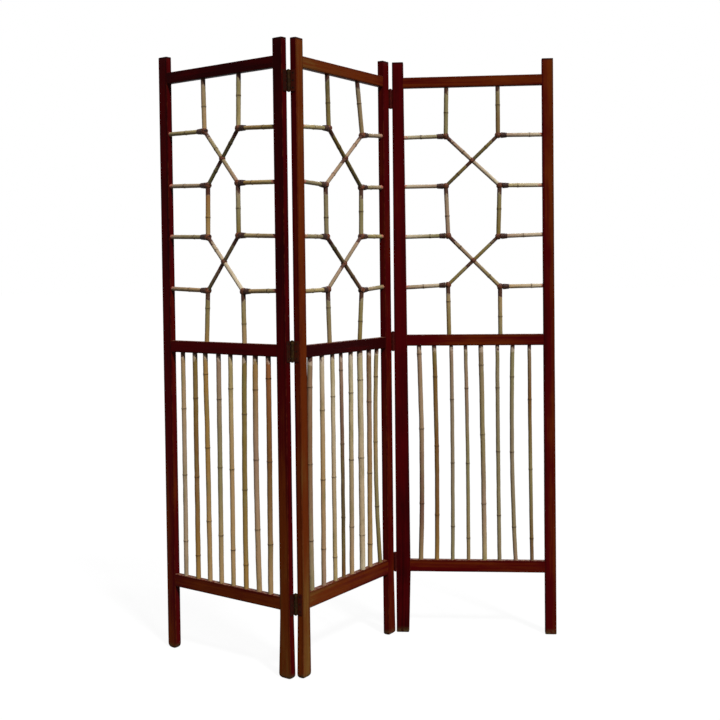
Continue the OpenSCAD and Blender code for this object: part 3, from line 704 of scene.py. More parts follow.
def lofted_bar(name, panel, stations, upright, warmth, seed, node_name, lean=0.0):
    """Bar through its sections, closed at both ends, with the lay and warmth of its grain painted on."""
    points, lays, reaches, arrises, upwards, warmths = [], [], [], [], [], []
    start, end = stations[0][0], stations[-1][0]
    for along, low, high, rounding in hand_planed(stations, seed):
        mid_a = (low[0] + high[0]) / 2
        mid_b = (low[1] + high[1]) / 2
        share = (end - along) / (end - start) if upright else (along - start) / (end - start)
        front, others = (np.interp(share, np.linspace(0, 1, len(row)), row) for row in warmth)
        for a, b, on_edge in section(low, high, rounding):
            from_front = b - low[1] if upright else a - low[0]
            in_front = max(0.0, 1 - from_front / max(rounding, FLAT_SUPPORT))
            points.append((a, b, along) if upright else (along, a, b))
            lays.append((a - mid_a, b - mid_b, along + GRAIN_SHIFT * seed))
            reaches.append((high[0] - mid_a, high[1] - mid_b, 0.0))
            arrises.append(on_edge)
            upwards.append(0.0 if upright else float(b > high[1] - RAIL_BITE / 4))
            warmths.append(others + (front + lean * (a - mid_a) / (high[0] - mid_a) - others) * in_front)
    per_ring = len(points) // len(stations)
    faces = []
    for ring in range(len(stations) - 1):
        for k in range(per_ring):
            a = ring * per_ring + k
            b = ring * per_ring + (k + 1) % per_ring
            faces.append((a, b, b + per_ring, a + per_ring))
    faces.append(tuple(range(per_ring - 1, -1, -1)))
    faces.append(tuple(range(len(points) - per_ring, len(points))))
    mesh = bpy.data.meshes.new(name)
    mesh.from_pydata([tuple(p) for p in panel.out(points)], [], faces)
    mesh.polygons.foreach_set("use_smooth", [True] * (len(faces) - 2) + [False, False])
    for label, rows in (("lay", lays), ("reach", reaches)):
        paint(mesh, label, rows, "FLOAT_VECTOR")
    for label, values in (("arris", arrises), ("upward", upwards), ("warmth", warmths)):
        paint(mesh, label, values)
    mesh.materials.append(WOOD)
    mesh.update()
    bar = new_object(name, mesh)
    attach(bar, panel.body)
    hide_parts(node_name)


def post_levels(points):
    """Outline of a post wherever its CAD mesh has one: height, lowest and highest s and t, rounding."""
    points = np.unique(points.round(6), axis=0)
    heights = points[:, 2].round(5)
    found = []
    for z in np.unique(heights):
        ring = points[heights == z]
        if len(ring) < LEVEL_LEAST:
            continue
        low = ring[:, :2].min(0)
        high = ring[:, :2].max(0)
        front = ring[ring[:, 1] < low[1] + SAME_FACE]
        rounding = (np.ptp(ring[:, 0]) - np.ptp(front[:, 0])) / 2
        found.append([z, *low, *high, rounding])
    return np.array(found)


def make_post(panel, post, seed):
    levels = post_levels(panel.into(vertices(nodes[post + "_post"])))
    between = np.arange(levels[0, 0] + WAVE_PITCH, levels[-1, 0] - WAVE_PITCH, WAVE_PITCH)
    between = [z for z in between if np.abs(levels[:, 0] - z).min() > WAVE_PITCH / 4]
    heights = np.unique(np.concatenate([levels[:, 0], between]))
    rows = np.array([np.interp(heights, levels[:, 0], levels[:, k]) for k in range(1, 6)]).T
    stations = [(z, row[0:2], row[2:4], row[4]) for z, row in zip(heights, rows)]
    lean = POST_LEAN.get(post, 0.0)
    lofted_bar(post + "_upright", panel, stations, True, POST_WARMTH[post], seed, post + "_post", lean)


def make_rail(panel, place, seed):
    points = panel.into(vertices(panel.node(place + "_rail")))
    low = points.min(0)
    high = points.max(0)
    top = points[points[:, 2] > high[2] - SAME_FACE]
    rounding = (np.ptp(points[:, 1]) - np.ptp(top[:, 1])) / 2
    start = top[:, 0].min() - RAIL_BITE
    end = top[:, 0].max() + RAIL_BITE
    count = round((end - start) / WAVE_PITCH)
    along = np.sort([*np.linspace(start, end, count + 1), start + END_SUPPORT, end - END_SUPPORT])
    stations = [(s, low[1:], high[1:], rounding) for s in along]
    name = f"{panel.name}_{place}_crossbar"
    warmth = RAIL_WARMTH[panel.name, place]
    lofted_bar(name, panel, stations, False, warmth, seed, panel.node(place + "_rail").name)


for number, panel in enumerate(panels):
    for side, post in enumerate(POSTS[panel.name]):
        make_post(panel, post, POST_SEED + 2 * number + side)
    for place_number, place in enumerate(("top", "middle", "bottom")):
        make_rail(panel, place, RAIL_SEED + 3 * number + place_number)


# Canes

CLUSTER_GAP = 8 * MM
COPED_SPREAD = 1.5 * MM


def cane_line(points):
    """Centre line of one cane from its CAD solid, its ends with the growth rings between, and its radius."""
    centre = points.mean(0)
    axis = np.linalg.svd(points - centre, full_matrices=False)[2][0]
    distance = (points - centre) @ axis
    order = np.argsort(distance)
    points = points[order]
    cuts = np.nonzero(np.diff(distance[order]) > CLUSTER_GAP)[0] + 1
    groups = np.split(points, cuts)
    if np.ptp(groups[0] @ axis) > COPED_SPREAD:
        groups.reverse()
    line = [middle_of(group) for group in groups]
    if np.ptp(groups[-1] @ axis) > COPED_SPREAD:
        facing = np.linalg.svd(groups[0] - line[0], full_matrices=False)[2][2]
        if facing @ (line[-1] - line[0]) < 0:
            facing = -facing
        line[-1] = line[0] + facing * ((groups[-1] - line[0]) @ facing).max()
    radius = np.linalg.norm(groups[0] - line[0], axis=1).max()
    return np.array(line), radius


def cane_lines(panel, part):
    """Lines and radii of a node's canes, each from its foot to its head, or from its joint to its post.

    A row of canes runs from left to right, a lattice's canes down its left half and then down its right half.
    """
    found = []
    for solid in solids(panel.node(part)):
        line, radius = cane_line(panel.into(solid))
        rise = line[-1] - line[0]
        outward = abs(line[-1][0]) > abs(line[0][0])
        if (part == "side_canes" and not outward) or (part != "side_canes" and rise[2] < 0):
            line = line[::-1]
        found.append((line, radius))
    if part == "lower_canes":
        return sorted(found, key=lambda cane: cane[0][0][0])
    return sorted(found, key=lambda cane: (cane[0][:, 0].mean() > 0, -cane[0][:, 2].mean()))


def named(tree, name, data_type="FLOAT"):
    inputs = {"Name": name}
    return output_of(tree, "GeometryNodeInputNamedAttribute", inputs, "Attribute", data_type=data_type)


def stored(tree, geometry, name, value, data_type="FLOAT", domain="POINT"):
    inputs = {"Geometry": geometry, "Name": name, "Value": value}
    return output_of(tree, "GeometryNodeStoreNamedAttribute", inputs, data_type=data_type, domain=domain)


def finished(tree, geometry, material):
    """The end of a tree: plain faces with their material."""
    smooth = output_of(tree, "GeometryNodeSetShadeSmooth", {"Geometry": geometry})
    real = output_of(tree, "GeometryNodeRealizeInstances", {"Geometry": smooth})
    return output_of(tree, "GeometryNodeSetMaterial", {"Geometry": real, "Material": material})


def bell(tree, distance, width):
    """1 at no distance, falling off as a bell curve."""
    share = maths(tree, "DIVIDE", distance, width)
    return maths(tree, "EXPONENT", times(tree, times(tree, share, share), -1.0))


SWELL_SCALE = 26.0
DRIFT_SCALE = 14.0
# A ring's shoulder beside the ring itself: how many times as wide, and how proud
SHOULDER_WIDTH = 4.0
SHOULDER_SHARE = 0.3
# How far from its ends a cane is held, and from where on it wanders freely
HELD_END = (10 * MM, 40 * MM)


def cane_tree():
    """Grows a cane round each line: it wanders and swells a little, and stands proud at its growth rings."""
    tree, given, out = new_group("Natural cane", "GeometryNodeTree", [
        ("Lines", GEOMETRY, None),
        ("Step", FLOAT, 2 * MM),
        ("Sides", INT, 16),
        ("Ring swell", FLOAT, 0.8 * MM),
        ("Ring width", FLOAT, 1.5 * MM),
        ("Uneven", FLOAT, 0.1),
        ("Wander", FLOAT, 1 * MM),
        ("Skin", MATERIAL, None),
    ], [("Canes", GEOMETRY)])
    tree.is_modifier = True
    ring_points = output_of(tree, "GeometryNodeSeparateGeometry", {
        "Geometry": given["Lines"], "Selection": named(tree, "ring_here", "BOOLEAN")}, "Selection")
    curve = output_of(tree, "GeometryNodeMeshToCurve", {"Mesh": given["Lines"]}, "Curve")
    curve = output_of(tree, "GeometryNodeCurveSplineType", {
        "Curve": curve}, "Curve", spline_type="CATMULL_ROM")
    curve = output_of(tree, "GeometryNodeResampleCurve", {
        "Curve": curve, "Length": given["Step"]}, "Curve", mode="LENGTH")
    length = output_of(tree, "GeometryNodeSplineParameter", output="Length")
    whole = output_of(tree, "GeometryNodeSplineLength", output="Length")
    curve = stored(tree, curve, "along", length)
    from_head = minus(tree, whole, length)
    curve = stored(tree, curve, "from_head", from_head)
    distance = output_of(tree, "GeometryNodeProximity", {
        "Geometry": ring_points}, "Distance", target_element="POINTS")
    ring = bell(tree, distance, given["Ring width"])
    curve = stored(tree, curve, "ring", ring)
    place = position(tree)
    swelling = minus(tree, speckle(tree, place, SWELL_SCALE, 3.0), 0.5)
    plump = plus(tree, 1.0, times(tree, swelling, given["Uneven"]))
    shoulder_width = times(tree, given["Ring width"], SHOULDER_WIDTH)
    shoulder = times(tree, bell(tree, distance, shoulder_width), SHOULDER_SHARE)
    proud = times(tree, plus(tree, ring, shoulder), given["Ring swell"])
    girth = plus(tree, times(tree, named(tree, "girth"), plump), proud)
    curve = stored(tree, curve, "girth", girth)
    drift = output_of(tree, "ShaderNodeTexNoise", {
        "Vector": place, "Scale": DRIFT_SCALE, "Detail": 1.0}, "Color")
    drift = vector_maths(tree, "SUBTRACT", drift, (0.5, 0.5, 0.5))
    free = ramp(tree, maths(tree, "MINIMUM", length, from_head), *HELD_END)
    offset = scaled(tree, drift, times(tree, free, given["Wander"]))
    curve = output_of(tree, "GeometryNodeSetPosition", {"Geometry": curve, "Offset": offset})
    profile = output_of(tree, "GeometryNodeCurvePrimitiveCircle", {
        "Resolution": given["Sides"], "Radius": 1.0}, "Curve")
    profile = stored(tree, profile, "rim", place, "FLOAT_VECTOR")
    canes = output_of(tree, "GeometryNodeCurveToMesh", {
        "Curve": curve, "Profile Curve": profile, "Scale": named(tree, "girth"), "Fill Caps": True}, "Mesh")
    tree.links.new(finished(tree, canes, given["Skin"]), out["Canes"])
    return tree


NATURAL_CANE = cane_tree()
CANE_SIZES = {"Step": 2 * MM, "Sides": 16, "Ring swell": 0.75 * MM, "Ring width": 1.8 * MM, "Uneven": 0.14}
# Tones that keep canes apart, with their steps from panel to panel, from part to part and from cane to cane
FIRST_TONE = 0.13
PANEL_TONE_STEP = 0.29
PART_TONE_STEP = 0.17
TONE_STEP = 0.618

SKINS = {
    "tan": "#9a7d56", "grey": "#948068", "brown": "#6b4a26", "ochre": "#8c6b38", "rose": "#8d725e",
    "straw": "#9f8e62", "olive": "#736030", "russet": "#86512c", "plum": "#664739", "moss": "#4a442c",
    "khaki": "#7d7350", "cream": "#b6a88e", "dun": "#8a7350", "drab": "#7f7059",
}
# Skins of each cane from its head or post end down to its foot or joint end
CANE_SKINS = {
    ("left", "lower_canes"): (
        "tan grey grey", "olive brown ochre", "ochre ochre tan", "rose khaki tan",
        "straw tan tan", "olive olive ochre", "ochre rose tan", "russet brown tan"),
    # Painted shade: the plum and moss along the fourth cane of the middle row stand for shade on it.
    ("middle", "lower_canes"): (
        "rose brown rose khaki", "cream tan tan rose", "straw cream tan straw", "rose plum moss brown",
        "cream straw grey tan", "straw cream tan cream", "brown rose ochre tan", "khaki tan khaki olive"),
    ("right", "lower_canes"): (
        "rose dun rose plum dun", "olive brown brown brown ochre", "rose drab drab khaki",
        "khaki rose khaki khaki dun", "drab dun khaki rose straw", "khaki drab khaki drab",
        "khaki khaki drab khaki rose", "drab brown khaki olive plum"),
    ("left", "upright_canes"): (
        "rose tan", "russet ochre tan", "olive khaki ochre", "khaki straw", "grey khaki olive", "khaki tan"),
    ("middle", "upright_canes"): (
        "moss olive", "drab khaki drab", "drab khaki dun", "drab dun", "khaki", "khaki olive"),
    ("right", "upright_canes"): (
        "khaki", "grey rose", "khaki tan olive", "khaki brown", "khaki olive", "tan khaki"),
    ("left", "side_canes"): (
        "khaki straw", "grey", "grey khaki", "rose tan",
        "olive tan", "straw ochre", "rose straw", "khaki tan"),
    ("middle", "side_canes"): (
        "straw khaki", "drab khaki", "khaki drab", "dun straw",
        "grey drab", "grey khaki", "straw khaki", "khaki grey"),
    ("right", "side_canes"): (
        "cream khaki", "cream rose", "cream khaki", "rose cream",
        "cream rose", "cream straw", "cream rose", "cream tan"),
    # Crossings: the cane falling to the right above and below, then the one rising to the right
    # Painted shade: in each panel the crossing canes that the key light only grazes, rising on the left and
    # right panels and falling on the middle one, take the dark skins moss and plum.
    ("left", "crossing_canes"): ("grey khaki rose", "grey cream", "moss moss", "plum moss"),
    ("middle", "crossing_canes"): ("olive moss", "moss plum", "drab rose grey", "rose drab"),
    ("right", "crossing_canes"): ("rose grey cream", "rose drab dun", "olive moss", "khaki moss olive"),
}


def skin_number(part, lines, index):
    """Place of a cane in its row of CANE_SKINS."""
    if part != "crossing_canes":
        return index
    line = lines[index][0]
    rising = (line[-1][0] - line[0][0]) * (line[-1][2] - line[0][2]) > 0
    below = line[:, 2].mean() < np.mean([other[:, 2].mean() for other, radius in lines])
    return 2 * int(rising) + int(below)


def skin_along(names, share):
    """Color at a share of a cane's length from its foot, between the skins named from its head down."""
    colors = np.array([srgb(SKINS[name]) for name in reversed(names.split())])
    return [np.interp(share, np.linspace(0, 1, len(colors)), channel) for channel in colors.T]


def guide_mesh(name, panel, part, lines, first_tone):
    """Lines of canes as a mesh of edges, with their radius, tone, skin and growth rings painted on."""
    points, edges, girths, tones, rings, colors = [], [], [], [], [], []
    for index, (line, radius) in enumerate(lines):
        skin = CANE_SKINS[panel.name, part][skin_number(part, lines, index)]
        start = len(points)
        last = len(line) - 1
        for k in range(last + 1):
            points.append(tuple(panel.out([line[k]])[0]))
            share = np.linalg.norm(line[k] - line[0]) / np.linalg.norm(line[last] - line[0])
            colors.append(skin_along(skin, share))
            rings.append(0 < k < last)
        edges += [(start + k, start + k + 1) for k in range(last)]
        girths += [radius] * (last + 1)
        tones += [(first_tone + index * TONE_STEP) % 1.0] * (last + 1)
    mesh = bpy.data.meshes.new(name)
    mesh.from_pydata(points, edges, [])
    paint(mesh, "girth", girths)
    paint(mesh, "tone", tones)
    paint(mesh, "ring_here", rings, "BOOLEAN")
    paint(mesh, "skin", colors, "FLOAT_COLOR")
    return mesh


def make_canes(panel, part, lines, material, first_tone, wander):
    name = f"{panel.name}_{part}_grown"
    guide = guide_mesh(name, panel, part, lines, first_tone)
    canes = grown(name, guide, NATURAL_CANE, {**CANE_SIZES, "Wander": wander, "Skin": material})
    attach(canes, panel.body)
    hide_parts(panel.node(part).name)


CANE_PARTS = {
    "lower_canes": (LOWER_CANE, 1.6 * MM),
    "upright_canes": (LATTICE_CANE, 0.8 * MM),
    "side_canes": (SIDE_CANE, 0.4 * MM),
    "crossing_canes": (LATTICE_CANE, 0.6 * MM),
}
lines_of = {}
for number, panel in enumerate(panels):
    for part_number, (part, (material, wander)) in enumerate(CANE_PARTS.items()):
        lines_of[panel.name, part] = cane_lines(panel, part)
        tone = FIRST_TONE + PANEL_TONE_STEP * number + PART_TONE_STEP * part_number
        make_canes(panel, part, lines_of[panel.name, part], material, tone, wander)


# Bindings

STRIP_WIDTH = 2.7 * MM
STRIP_THICKNESS = 0.9 * MM
SLEEVE_BASE_SHARE = 0.84
SLEEVE_START = 7.5 * MM
STRIP_LAYER = 0.0
CORE_LAYER = 1.0
SLEEVE_LAYER = 2.0
# A knob's inner and outer winding: its lean in degrees, its turns and its seed
KNOB_WINDINGS = ((50.0, 5.0, 3), (-44.0, 3.0, 8))
# How far in radians a knob's winding may be off its lean about each axis, and a sleeve be twisted
KNOB_PLAY = (0.12, 0.16, 0.5)
SLEEVE_TWIST = 3.1
SLEEVE_SEED = 21
CORE_SEED = 5
# Strip widths from turn to turn of a sleeve
TURN_PITCH = 0.96
# Strip thicknesses from a knob's outer to its inner winding, on to the ball, and from a sleeve to its cone
LAYER_SINK = 0.62
BALL_SINK = 0.35
CONE_SINK = 0.25
# How far the middle of a crossing's own canes may be from it
CROSSING_REACH = 60 * MM
# How many knob radii from its centre a CAD corner ends, and how near its sleeve's end a vertex is on the rim
CORNER_REACH = 4
RIM_DEPTH = 0.1 * MM
STRIP_SIDES = 8
KNOB_STEPS = 30
SLEEVE_STEPS = 24
CONE_SIDES = 24
BALL_DETAIL = 3


def strip_profile(tree, width, thickness):
    """Rounded section of a strip, thin along the curve's normal."""
    ring = output_of(tree, "GeometryNodeCurvePrimitiveCircle", {
        "Resolution": STRIP_SIDES, "Radius": 0.5}, "Curve")
    size = add(tree, "ShaderNodeCombineXYZ", {"X": thickness, "Y": width, "Z": 1.0}).outputs[0]
    return output_of(tree, "GeometryNodeTransform", {"Geometry": ring, "Scale": size})


def wound_strip(tree, curve, radius, facing, width, thickness):
    """Strip along a spiral of radius 1, which is drawn out to the given radius and faces the given way."""
    place = position(tree)
    rise = vector_maths(tree, "MULTIPLY", place, (0.0, 0.0, 1.0))
    wound = vector_maths(tree, "ADD", scaled(tree, level(tree, place), radius), rise)
    curve = output_of(tree, "GeometryNodeSetPosition", {"Geometry": curve, "Position": wound})
    curve = output_of(tree, "GeometryNodeSetCurveNormal", {
        "Curve": curve, "Normal": facing}, "Curve", mode="FREE")
    return output_of(tree, "GeometryNodeCurveToMesh", {
        "Curve": curve, "Profile Curve": strip_profile(tree, width, thickness), "Fill Caps": True}, "Mesh")


def lifted(tree, geometry, height):
    return output_of(tree, "GeometryNodeTransform", {
        "Geometry": geometry, "Translation": upward(tree, height)})


def spiral(tree, turns, height, steps, start):
    """Spiral of radius 1 up the z axis from where it starts."""
    curve = add(tree, "GeometryNodeCurveSpiral", {
        "Resolution": steps, "Rotations": turns, "Start Radius": 1.0, "End Radius": 1.0, "Height": height})
    return lifted(tree, curve.outputs["Curve"], start)


def turned_about(tree, rotation, euler):
    by = add(tree, "FunctionNodeEulerToRotation", {"Euler": euler}).outputs["Rotation"]
    return add(tree, "FunctionNodeRotateRotation", {
        "Rotation": rotation, "Rotate By": by}, rotation_space="LOCAL").outputs["Rotation"]


def ball_winding_tree():
    """Strip wound round a ball in turns side by side."""
    tree, given, out = new_group("Ball winding", "GeometryNodeTree", [
        ("Radius", FLOAT, 10 * MM),
        ("Turns", FLOAT, 4.0),
        ("Width", FLOAT, STRIP_WIDTH),
        ("Thickness", FLOAT, STRIP_THICKNESS),
    ], [("Strip", GEOMETRY)])
    height = times(tree, given["Turns"], given["Width"])
    curve = spiral(tree, given["Turns"], height, KNOB_STEPS, times(tree, height, -0.5))
    place = position(tree)
    z = height_of(tree, place)
    rest = minus(tree, times(tree, given["Radius"], given["Radius"]), times(tree, z, z))
    ring_radius = maths(tree, "SQRT", rest)
    facing = vector_maths(tree, "NORMALIZE", place)
    strip = wound_strip(tree, curve, ring_radius, facing, given["Width"], given["Thickness"])
    tree.links.new(strip, out["Strip"])
    return tree


def sleeve_winding_tree():
    """Strip wound up a cone from z = Start to z = End."""
    tree, given, out = new_group("Sleeve winding", "GeometryNodeTree", [
        ("Start", FLOAT, 7 * MM),
        ("End", FLOAT, 29 * MM),
        ("Base radius", FLOAT, 9 * MM),
        ("End radius", FLOAT, 7 * MM),
        ("Width", FLOAT, STRIP_WIDTH),
        ("Thickness", FLOAT, STRIP_THICKNESS),
    ], [("Strip", GEOMETRY)])
    height = minus(tree, minus(tree, given["End"], given["Start"]), given["Width"])
    turns = maths(tree, "DIVIDE", height, times(tree, given["Width"], TURN_PITCH))
    start = plus(tree, given["Start"], times(tree, given["Width"], 0.5))
    curve = spiral(tree, turns, height, SLEEVE_STEPS, start)
    place = position(tree)
    z = height_of(tree, place)
    radius = ramp(tree, z, given["Start"], given["End"], given["Base radius"], given["End radius"])
    facing = vector_maths(tree, "NORMALIZE", level(tree, place))
    strip = wound_strip(tree, curve, radius, facing, given["Width"], given["Thickness"])
    tree.links.new(strip, out["Strip"])
    return tree


def nested(tree, group, inputs):
    return add(tree, "GeometryNodeGroup", inputs, node_tree=group).outputs[0]


BALL_WINDING = ball_winding_tree()
SLEEVE_WINDING = sleeve_winding_tree()


def set_on(tree, points, shape, rotation, seed, layer):
    """A shape on each joint, each with a tone of its own and the number of its layer."""
    shapes = output_of(tree, "GeometryNodeInstanceOnPoints", {
        "Points": points, "Instance": shape, "Rotation": rotation}, "Instances")
    tone = add(tree, "FunctionNodeRandomValue", {"Seed": seed}, data_type="FLOAT").outputs[1]
    shapes = stored(tree, shapes, "tone", tone, domain="INSTANCE")
    return stored(tree, shapes, "layer", layer, domain="INSTANCE")


def joint_rotation(tree):
    """Z along the side cane, Y square to the panel."""
    return add(tree, "FunctionNodeAxesToRotation", {
        "Primary Axis": named(tree, "out", "FLOAT_VECTOR"),
        "Secondary Axis": named(tree, "front", "FLOAT_VECTOR"),
    }, primary_axis="Z", secondary_axis="Y").outputs["Rotation"]


def spread_by(tree, seed, low, high):
    """Random vector between two, the same at every run."""
    inputs = {0: low, 1: high, "Seed": seed}
    return add(tree, "FunctionNodeRandomValue", inputs, data_type="FLOAT_VECTOR").outputs[0]


def sunk(tree, radius, thick, share):
    """Radius less a share of the strip's thickness."""
    return minus(tree, radius, times(tree, thick, share))


def binding_tree(with_sleeve):
    """Knob of strip wound crosswise over a joint, with or without a wrapped sleeve on the side cane."""
    inputs = [
        ("Joints", GEOMETRY, None),
        ("Knob radius", FLOAT, 11 * MM),
        ("Strip width", FLOAT, STRIP_WIDTH),
        ("Strip thickness", FLOAT, STRIP_THICKNESS),
        ("Strip", MATERIAL, None),
        ("Core", MATERIAL, None),
    ]
    if with_sleeve:
        inputs += [
            ("Sleeve start", FLOAT, 7 * MM),
            ("Sleeve end", FLOAT, 29 * MM),
            ("Sleeve base radius", FLOAT, 9 * MM),
            ("Sleeve end radius", FLOAT, 7 * MM),
            ("Sleeve strip", MATERIAL, None),
        ]
    name = "Bound corner" if with_sleeve else "Bound crossing"
    tree, given, out = new_group(name, "GeometryNodeTree", inputs, [("Bindings", GEOMETRY)])
    tree.is_modifier = True
    points = given["Joints"]
    thick = given["Strip thickness"]
    rotation = joint_rotation(tree)
    outer = sunk(tree, given["Knob radius"], thick, 0.5)
    inner = sunk(tree, outer, thick, LAYER_SINK)
    layers = []
    for radius, (lean, turns, seed) in zip((inner, outer), KNOB_WINDINGS):
        winding = nested(tree, BALL_WINDING, {
            "Radius": radius, "Turns": turns, "Width": given["Strip width"], "Thickness": thick})
        lean = Vector((0.0, math.radians(lean), 0.0))
        play = spread_by(tree, seed, tuple(lean - Vector(KNOB_PLAY)), tuple(lean + Vector(KNOB_PLAY)))
        layers.append(set_on(tree, points, winding, turned_about(tree, rotation, play), seed, STRIP_LAYER))
    ball = output_of(tree, "GeometryNodeMeshIcoSphere", {
        "Radius": sunk(tree, inner, thick, BALL_SINK), "Subdivisions": BALL_DETAIL}, "Mesh")
    layers.append(set_on(tree, points, ball, rotation, CORE_SEED, CORE_LAYER))
    if with_sleeve:
        base_radius = sunk(tree, given["Sleeve base radius"], thick, 0.5)
        end_radius = sunk(tree, given["Sleeve end radius"], thick, 0.5)
        sleeve = nested(tree, SLEEVE_WINDING, {
            "Start": given["Sleeve start"], "End": given["Sleeve end"], "Base radius": base_radius,
            "End radius": end_radius, "Width": given["Strip width"], "Thickness": thick})
        twist = spread_by(tree, SLEEVE_SEED, (0.0, 0.0, -SLEEVE_TWIST), (0.0, 0.0, SLEEVE_TWIST))
        twisted = turned_about(tree, rotation, twist)
        layers.append(set_on(tree, points, sleeve, twisted, SLEEVE_SEED, SLEEVE_LAYER))
        depth = minus(tree, given["Sleeve end"], given["Sleeve start"])
        cone = output_of(tree, "GeometryNodeMeshCone", {
            "Vertices": CONE_SIDES, "Radius Top": sunk(tree, end_radius, thick, CONE_SINK),
            "Radius Bottom": sunk(tree, base_radius, thick, CONE_SINK),
            "Depth": minus(tree, depth, given["Strip width"])}, "Mesh")
        cone = lifted(tree, cone, plus(tree, given["Sleeve start"], times(tree, given["Strip width"], 0.5)))
        layers.append(set_on(tree, points, cone, rotation, CORE_SEED, CORE_LAYER))
    joined = add(tree, "GeometryNodeJoinGeometry")
    for layer in reversed(layers):
        tree.links.new(layer, joined.inputs[0])
    smooth = output_of(tree, "GeometryNodeSetShadeSmooth", {"Geometry": joined.outputs[0]})
    geometry = output_of(tree, "GeometryNodeRealizeInstances", {"Geometry": smooth})
    coverings = [("Strip", STRIP_LAYER), ("Core", CORE_LAYER)]
    if with_sleeve:
        coverings.append(("Sleeve strip", SLEEVE_LAYER))
    for covering, layer in coverings:
        of_layer = add(tree, "FunctionNodeCompare", {
            0: named(tree, "layer"), 1: layer, "Epsilon": 0.1}, operation="EQUAL")
        geometry = output_of(tree, "GeometryNodeSetMaterial", {
            "Geometry": geometry, "Selection": of_layer.outputs[0], "Material": given[covering]})
    tree.links.new(geometry, out["Bindings"])
    return tree


BOUND_CORNER = binding_tree(True)
BOUND_CROSSING = binding_tree(False)


def meeting(p, d, q, e):
    """Where the line through p along d meets the line through q along e, in the panel's plane."""
    flat = np.array([[d[0], -e[0]], [d[2], -e[2]]])
    share = np.linalg.solve(flat, np.array([q[0] - p[0], q[2] - p[2]]))[0]
    return p + d * share


def direction(line):
    return (line[-1] - line[0]) / np.linalg.norm(line[-1] - line[0])


def corner_joints(panel):
    """Centre of each bound corner with the direction of its side cane, in the panel's frame."""
    uprights = [line for line, radius in lines_of[panel.name, "upright_canes"]]
    found = []
    for line, radius in lines_of[panel.name, "side_canes"]:
        start = line[0]
        d = direction(line)
        near = min(uprights, key=lambda u: min(np.linalg.norm(u[0] - start), np.linalg.norm(u[-1] - start)))
        found.append((meeting(start, d, near[0], near[-1] - near[0]), d))
    return found


def crossing_joints(panel):
    """Centre of each bound crossing with the direction of its whole cane, in the panel's frame."""
    centres = [middle_of(panel.into(solid)) for solid in solids(panel.node("crossing_bindings"))]
    found = []
    for centre in centres:
        line = max((line for line, radius in lines_of[panel.name, "crossing_canes"]
                    if np.linalg.norm((line[0] + line[-1]) / 2 - centre) < CROSSING_REACH),
                   key=lambda line: np.linalg.norm(line[-1] - line[0]))
        d = direction(line)
        found.append((centre, d))
    return found


def joint_mesh(name, panel, joints):
    mesh = bpy.data.meshes.new(name)
    mesh.from_pydata([tuple(panel.out([centre])[0]) for centre, d in joints], [], [])
    paint(mesh, "out", [d @ panel.axes for centre, d in joints], "FLOAT_VECTOR")
    paint(mesh, "front", [-panel.axes[1]] * len(joints), "FLOAT_VECTOR")
    return mesh


def knob_size(panel, part):
    return {"Knob radius": np.ptp(panel.into(vertices(panel.node(part)))[:, 1]) / 2}


def sleeve_sizes(panel, corner, knob_radius):
    """Reach and end radius of a CAD sleeve, which the wound one takes over."""
    centre, d = corner
    cad = panel.into(vertices(panel.node("corner_bindings"))) - centre
    cad = cad[np.linalg.norm(cad, axis=1) < CORNER_REACH * knob_radius]
    reach = (cad @ d).max()
    rim = cad[cad @ d > reach - RIM_DEPTH]
    return {
        "Sleeve start": SLEEVE_START, "Sleeve end": reach, "Sleeve strip": SLEEVE_STRIP,
        "Sleeve base radius": knob_radius * SLEEVE_BASE_SHARE,
        "Sleeve end radius": np.linalg.norm(rim - np.outer(rim @ d, d), axis=1).max(),
    }


def make_bindings(panel, place, tree, joints):
    """Winds a panel's corners or crossings, in place of their CAD shells."""
    part = place + "_bindings"
    sizes = knob_size(panel, part)
    if place == "corner":
        sizes.update(sleeve_sizes(panel, joints[0], sizes["Knob radius"]))
    name = f"{panel.name}_{place}_windings"
    piece = grown(name, joint_mesh(name, panel, joints), tree, {
        "Strip width": STRIP_WIDTH, "Strip thickness": STRIP_THICKNESS,
        "Strip": STRIP, "Core": CORE, **sizes})
    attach(piece, panel.body)
    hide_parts(panel.node(part).name)


for panel in panels:
    make_bindings(panel, "corner", BOUND_CORNER, corner_joints(panel))
    make_bindings(panel, "crossing", BOUND_CROSSING, crossing_joints(panel))


# Hinges keep their CAD form

# Colors of each joint's knuckles, unrubbed and rubbed, and of the plate of its outer and its middle leaf
JOINT_COLORS = {
    "left": ("#1e1407", "#38290f", "#2a0806", "#3a0d06"),
    "right": ("#2a0604", "#42100a", "#400805", "#3a0805"),
}


def finish_nodes(start, ending, material):
    """Gives a material to every CAD node whose name starts and ends like this."""
    for name, node in nodes.items():
        if name.startswith(start) and name.endswith(ending):
            for index in range(len(node.data.materials)):
                node.data.materials[index] = material


for side, (base, rubbed, outer_plate, middle_plate) in JOINT_COLORS.items():
    axis = middle_of(vertices(nodes[side + "_joint_top_hinge_pin"]))[:2]
    metals = {
        "outer_leaf": dark_metal(side + "_joint_outer_bronze", base, rubbed, 0.2, 0.5, axis, outer_plate),
        "middle_leaf": dark_metal(side + "_joint_middle_bronze", base, rubbed, 0.2, 0.5, axis, middle_plate),
        "pin": dark_metal(side + "_joint_pin_steel", base, rubbed, 0.3, 0.45),
    }
    for ending, metal in metals.items():
        finish_nodes(side + "_joint", ending, metal)
finish_nodes("", "_screws", SCREW_METAL)


# Stage

FLOOR_HALF = 60.0
EYE_WHITE = 0.93
FLOOR_SEEN = 0.9
FLOOR_BOUNCE = 0.09
FLOOR_ROUGHNESS = 0.9
WHITE = (1.0, 1.0, 1.0, 1.0)
AMBIENT = 0.09
# Each lamp's heading to the right of the front, its height and its width in degrees, and its strength
LAMPS = {
    "key": (28.0, 47.0, 8.0, 4.8),
    "back_fill": (165.0, 35.0, 25.0, 1.5),
}


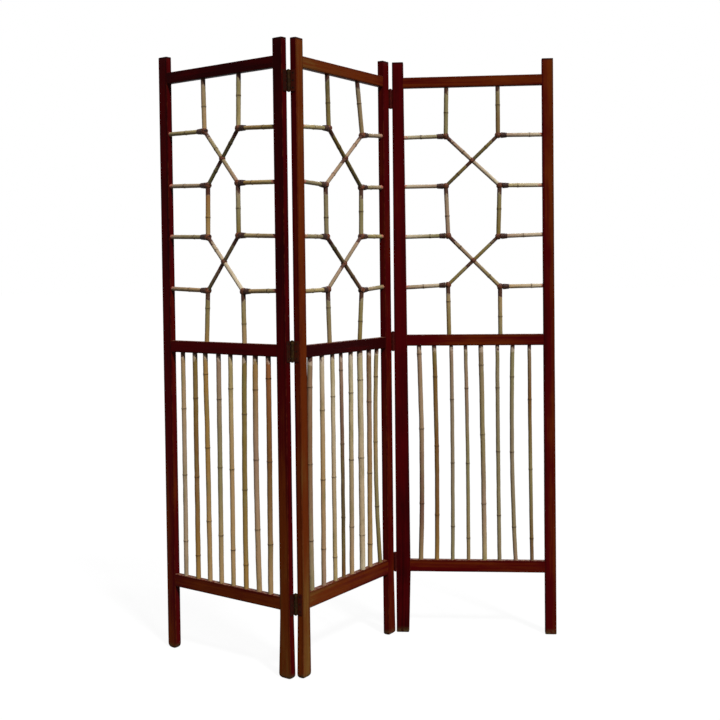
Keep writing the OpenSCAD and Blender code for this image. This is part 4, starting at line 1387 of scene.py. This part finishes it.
def seen_directly(tree):
    """1 for camera, glossy and transmission rays, which are to meet the white background."""
    path = add(tree, "ShaderNodeLightPath").outputs
    seen = maths(tree, "MAXIMUM", path["Is Camera Ray"], path["Is Glossy Ray"])
    return maths(tree, "MAXIMUM", seen, path["Is Transmission Ray"])


def make_floor():
    mesh = bpy.data.meshes.new("floor")
    corners = [(x * FLOOR_HALF, y * FLOOR_HALF, 0) for x, y in ((-1, -1), (1, -1), (1, 1), (-1, 1))]
    mesh.from_pydata(corners, [], [(0, 1, 2, 3)])
    floor = new_object("floor", mesh)
    material, tree, shader = new_material("pale_floor")
    seen = seen_directly(tree)
    pale = mixed(tree, seen, (FLOOR_BOUNCE,) * 3 + (1.0,), (FLOOR_SEEN,) * 3 + (1.0,))
    tree.links.new(pale, shader.inputs["Base Color"])
    shader.inputs["Roughness"].default_value = FLOOR_ROUGHNESS
    glow = add(tree, "ShaderNodeEmission", {"Color": WHITE, "Strength": 1.0})
    share = times(tree, seen, EYE_WHITE)
    both = add(tree, "ShaderNodeMixShader", {0: share, 1: shader.outputs[0], 2: glow.outputs[0]})
    tree.links.new(both.outputs[0], tree.nodes["Material Output"].inputs["Surface"])
    mesh.materials.append(material)


def make_lights():
    world = bpy.data.worlds.new("studio")
    world.use_nodes = True
    scene.world = world
    tree = world.node_tree
    ambient = tree.nodes["Background"]
    ambient.inputs["Color"].default_value = WHITE
    ambient.inputs["Strength"].default_value = AMBIENT
    white = add(tree, "ShaderNodeBackground", {"Color": WHITE, "Strength": 1.0})
    both = add(tree, "ShaderNodeMixShader", {
        0: seen_directly(tree), 1: ambient.outputs[0], 2: white.outputs[0]})
    tree.links.new(both.outputs[0], tree.nodes["World Output"].inputs["Surface"])
    for name, (heading, height, width, strength) in LAMPS.items():
        data = bpy.data.lights.new(name, "SUN")
        data.angle = math.radians(width)
        data.energy = strength
        new_object(name, data).rotation_euler = (math.radians(90 - height), 0.0, math.radians(heading))


make_floor()
make_lights()
scene.view_settings.view_transform = "Standard"
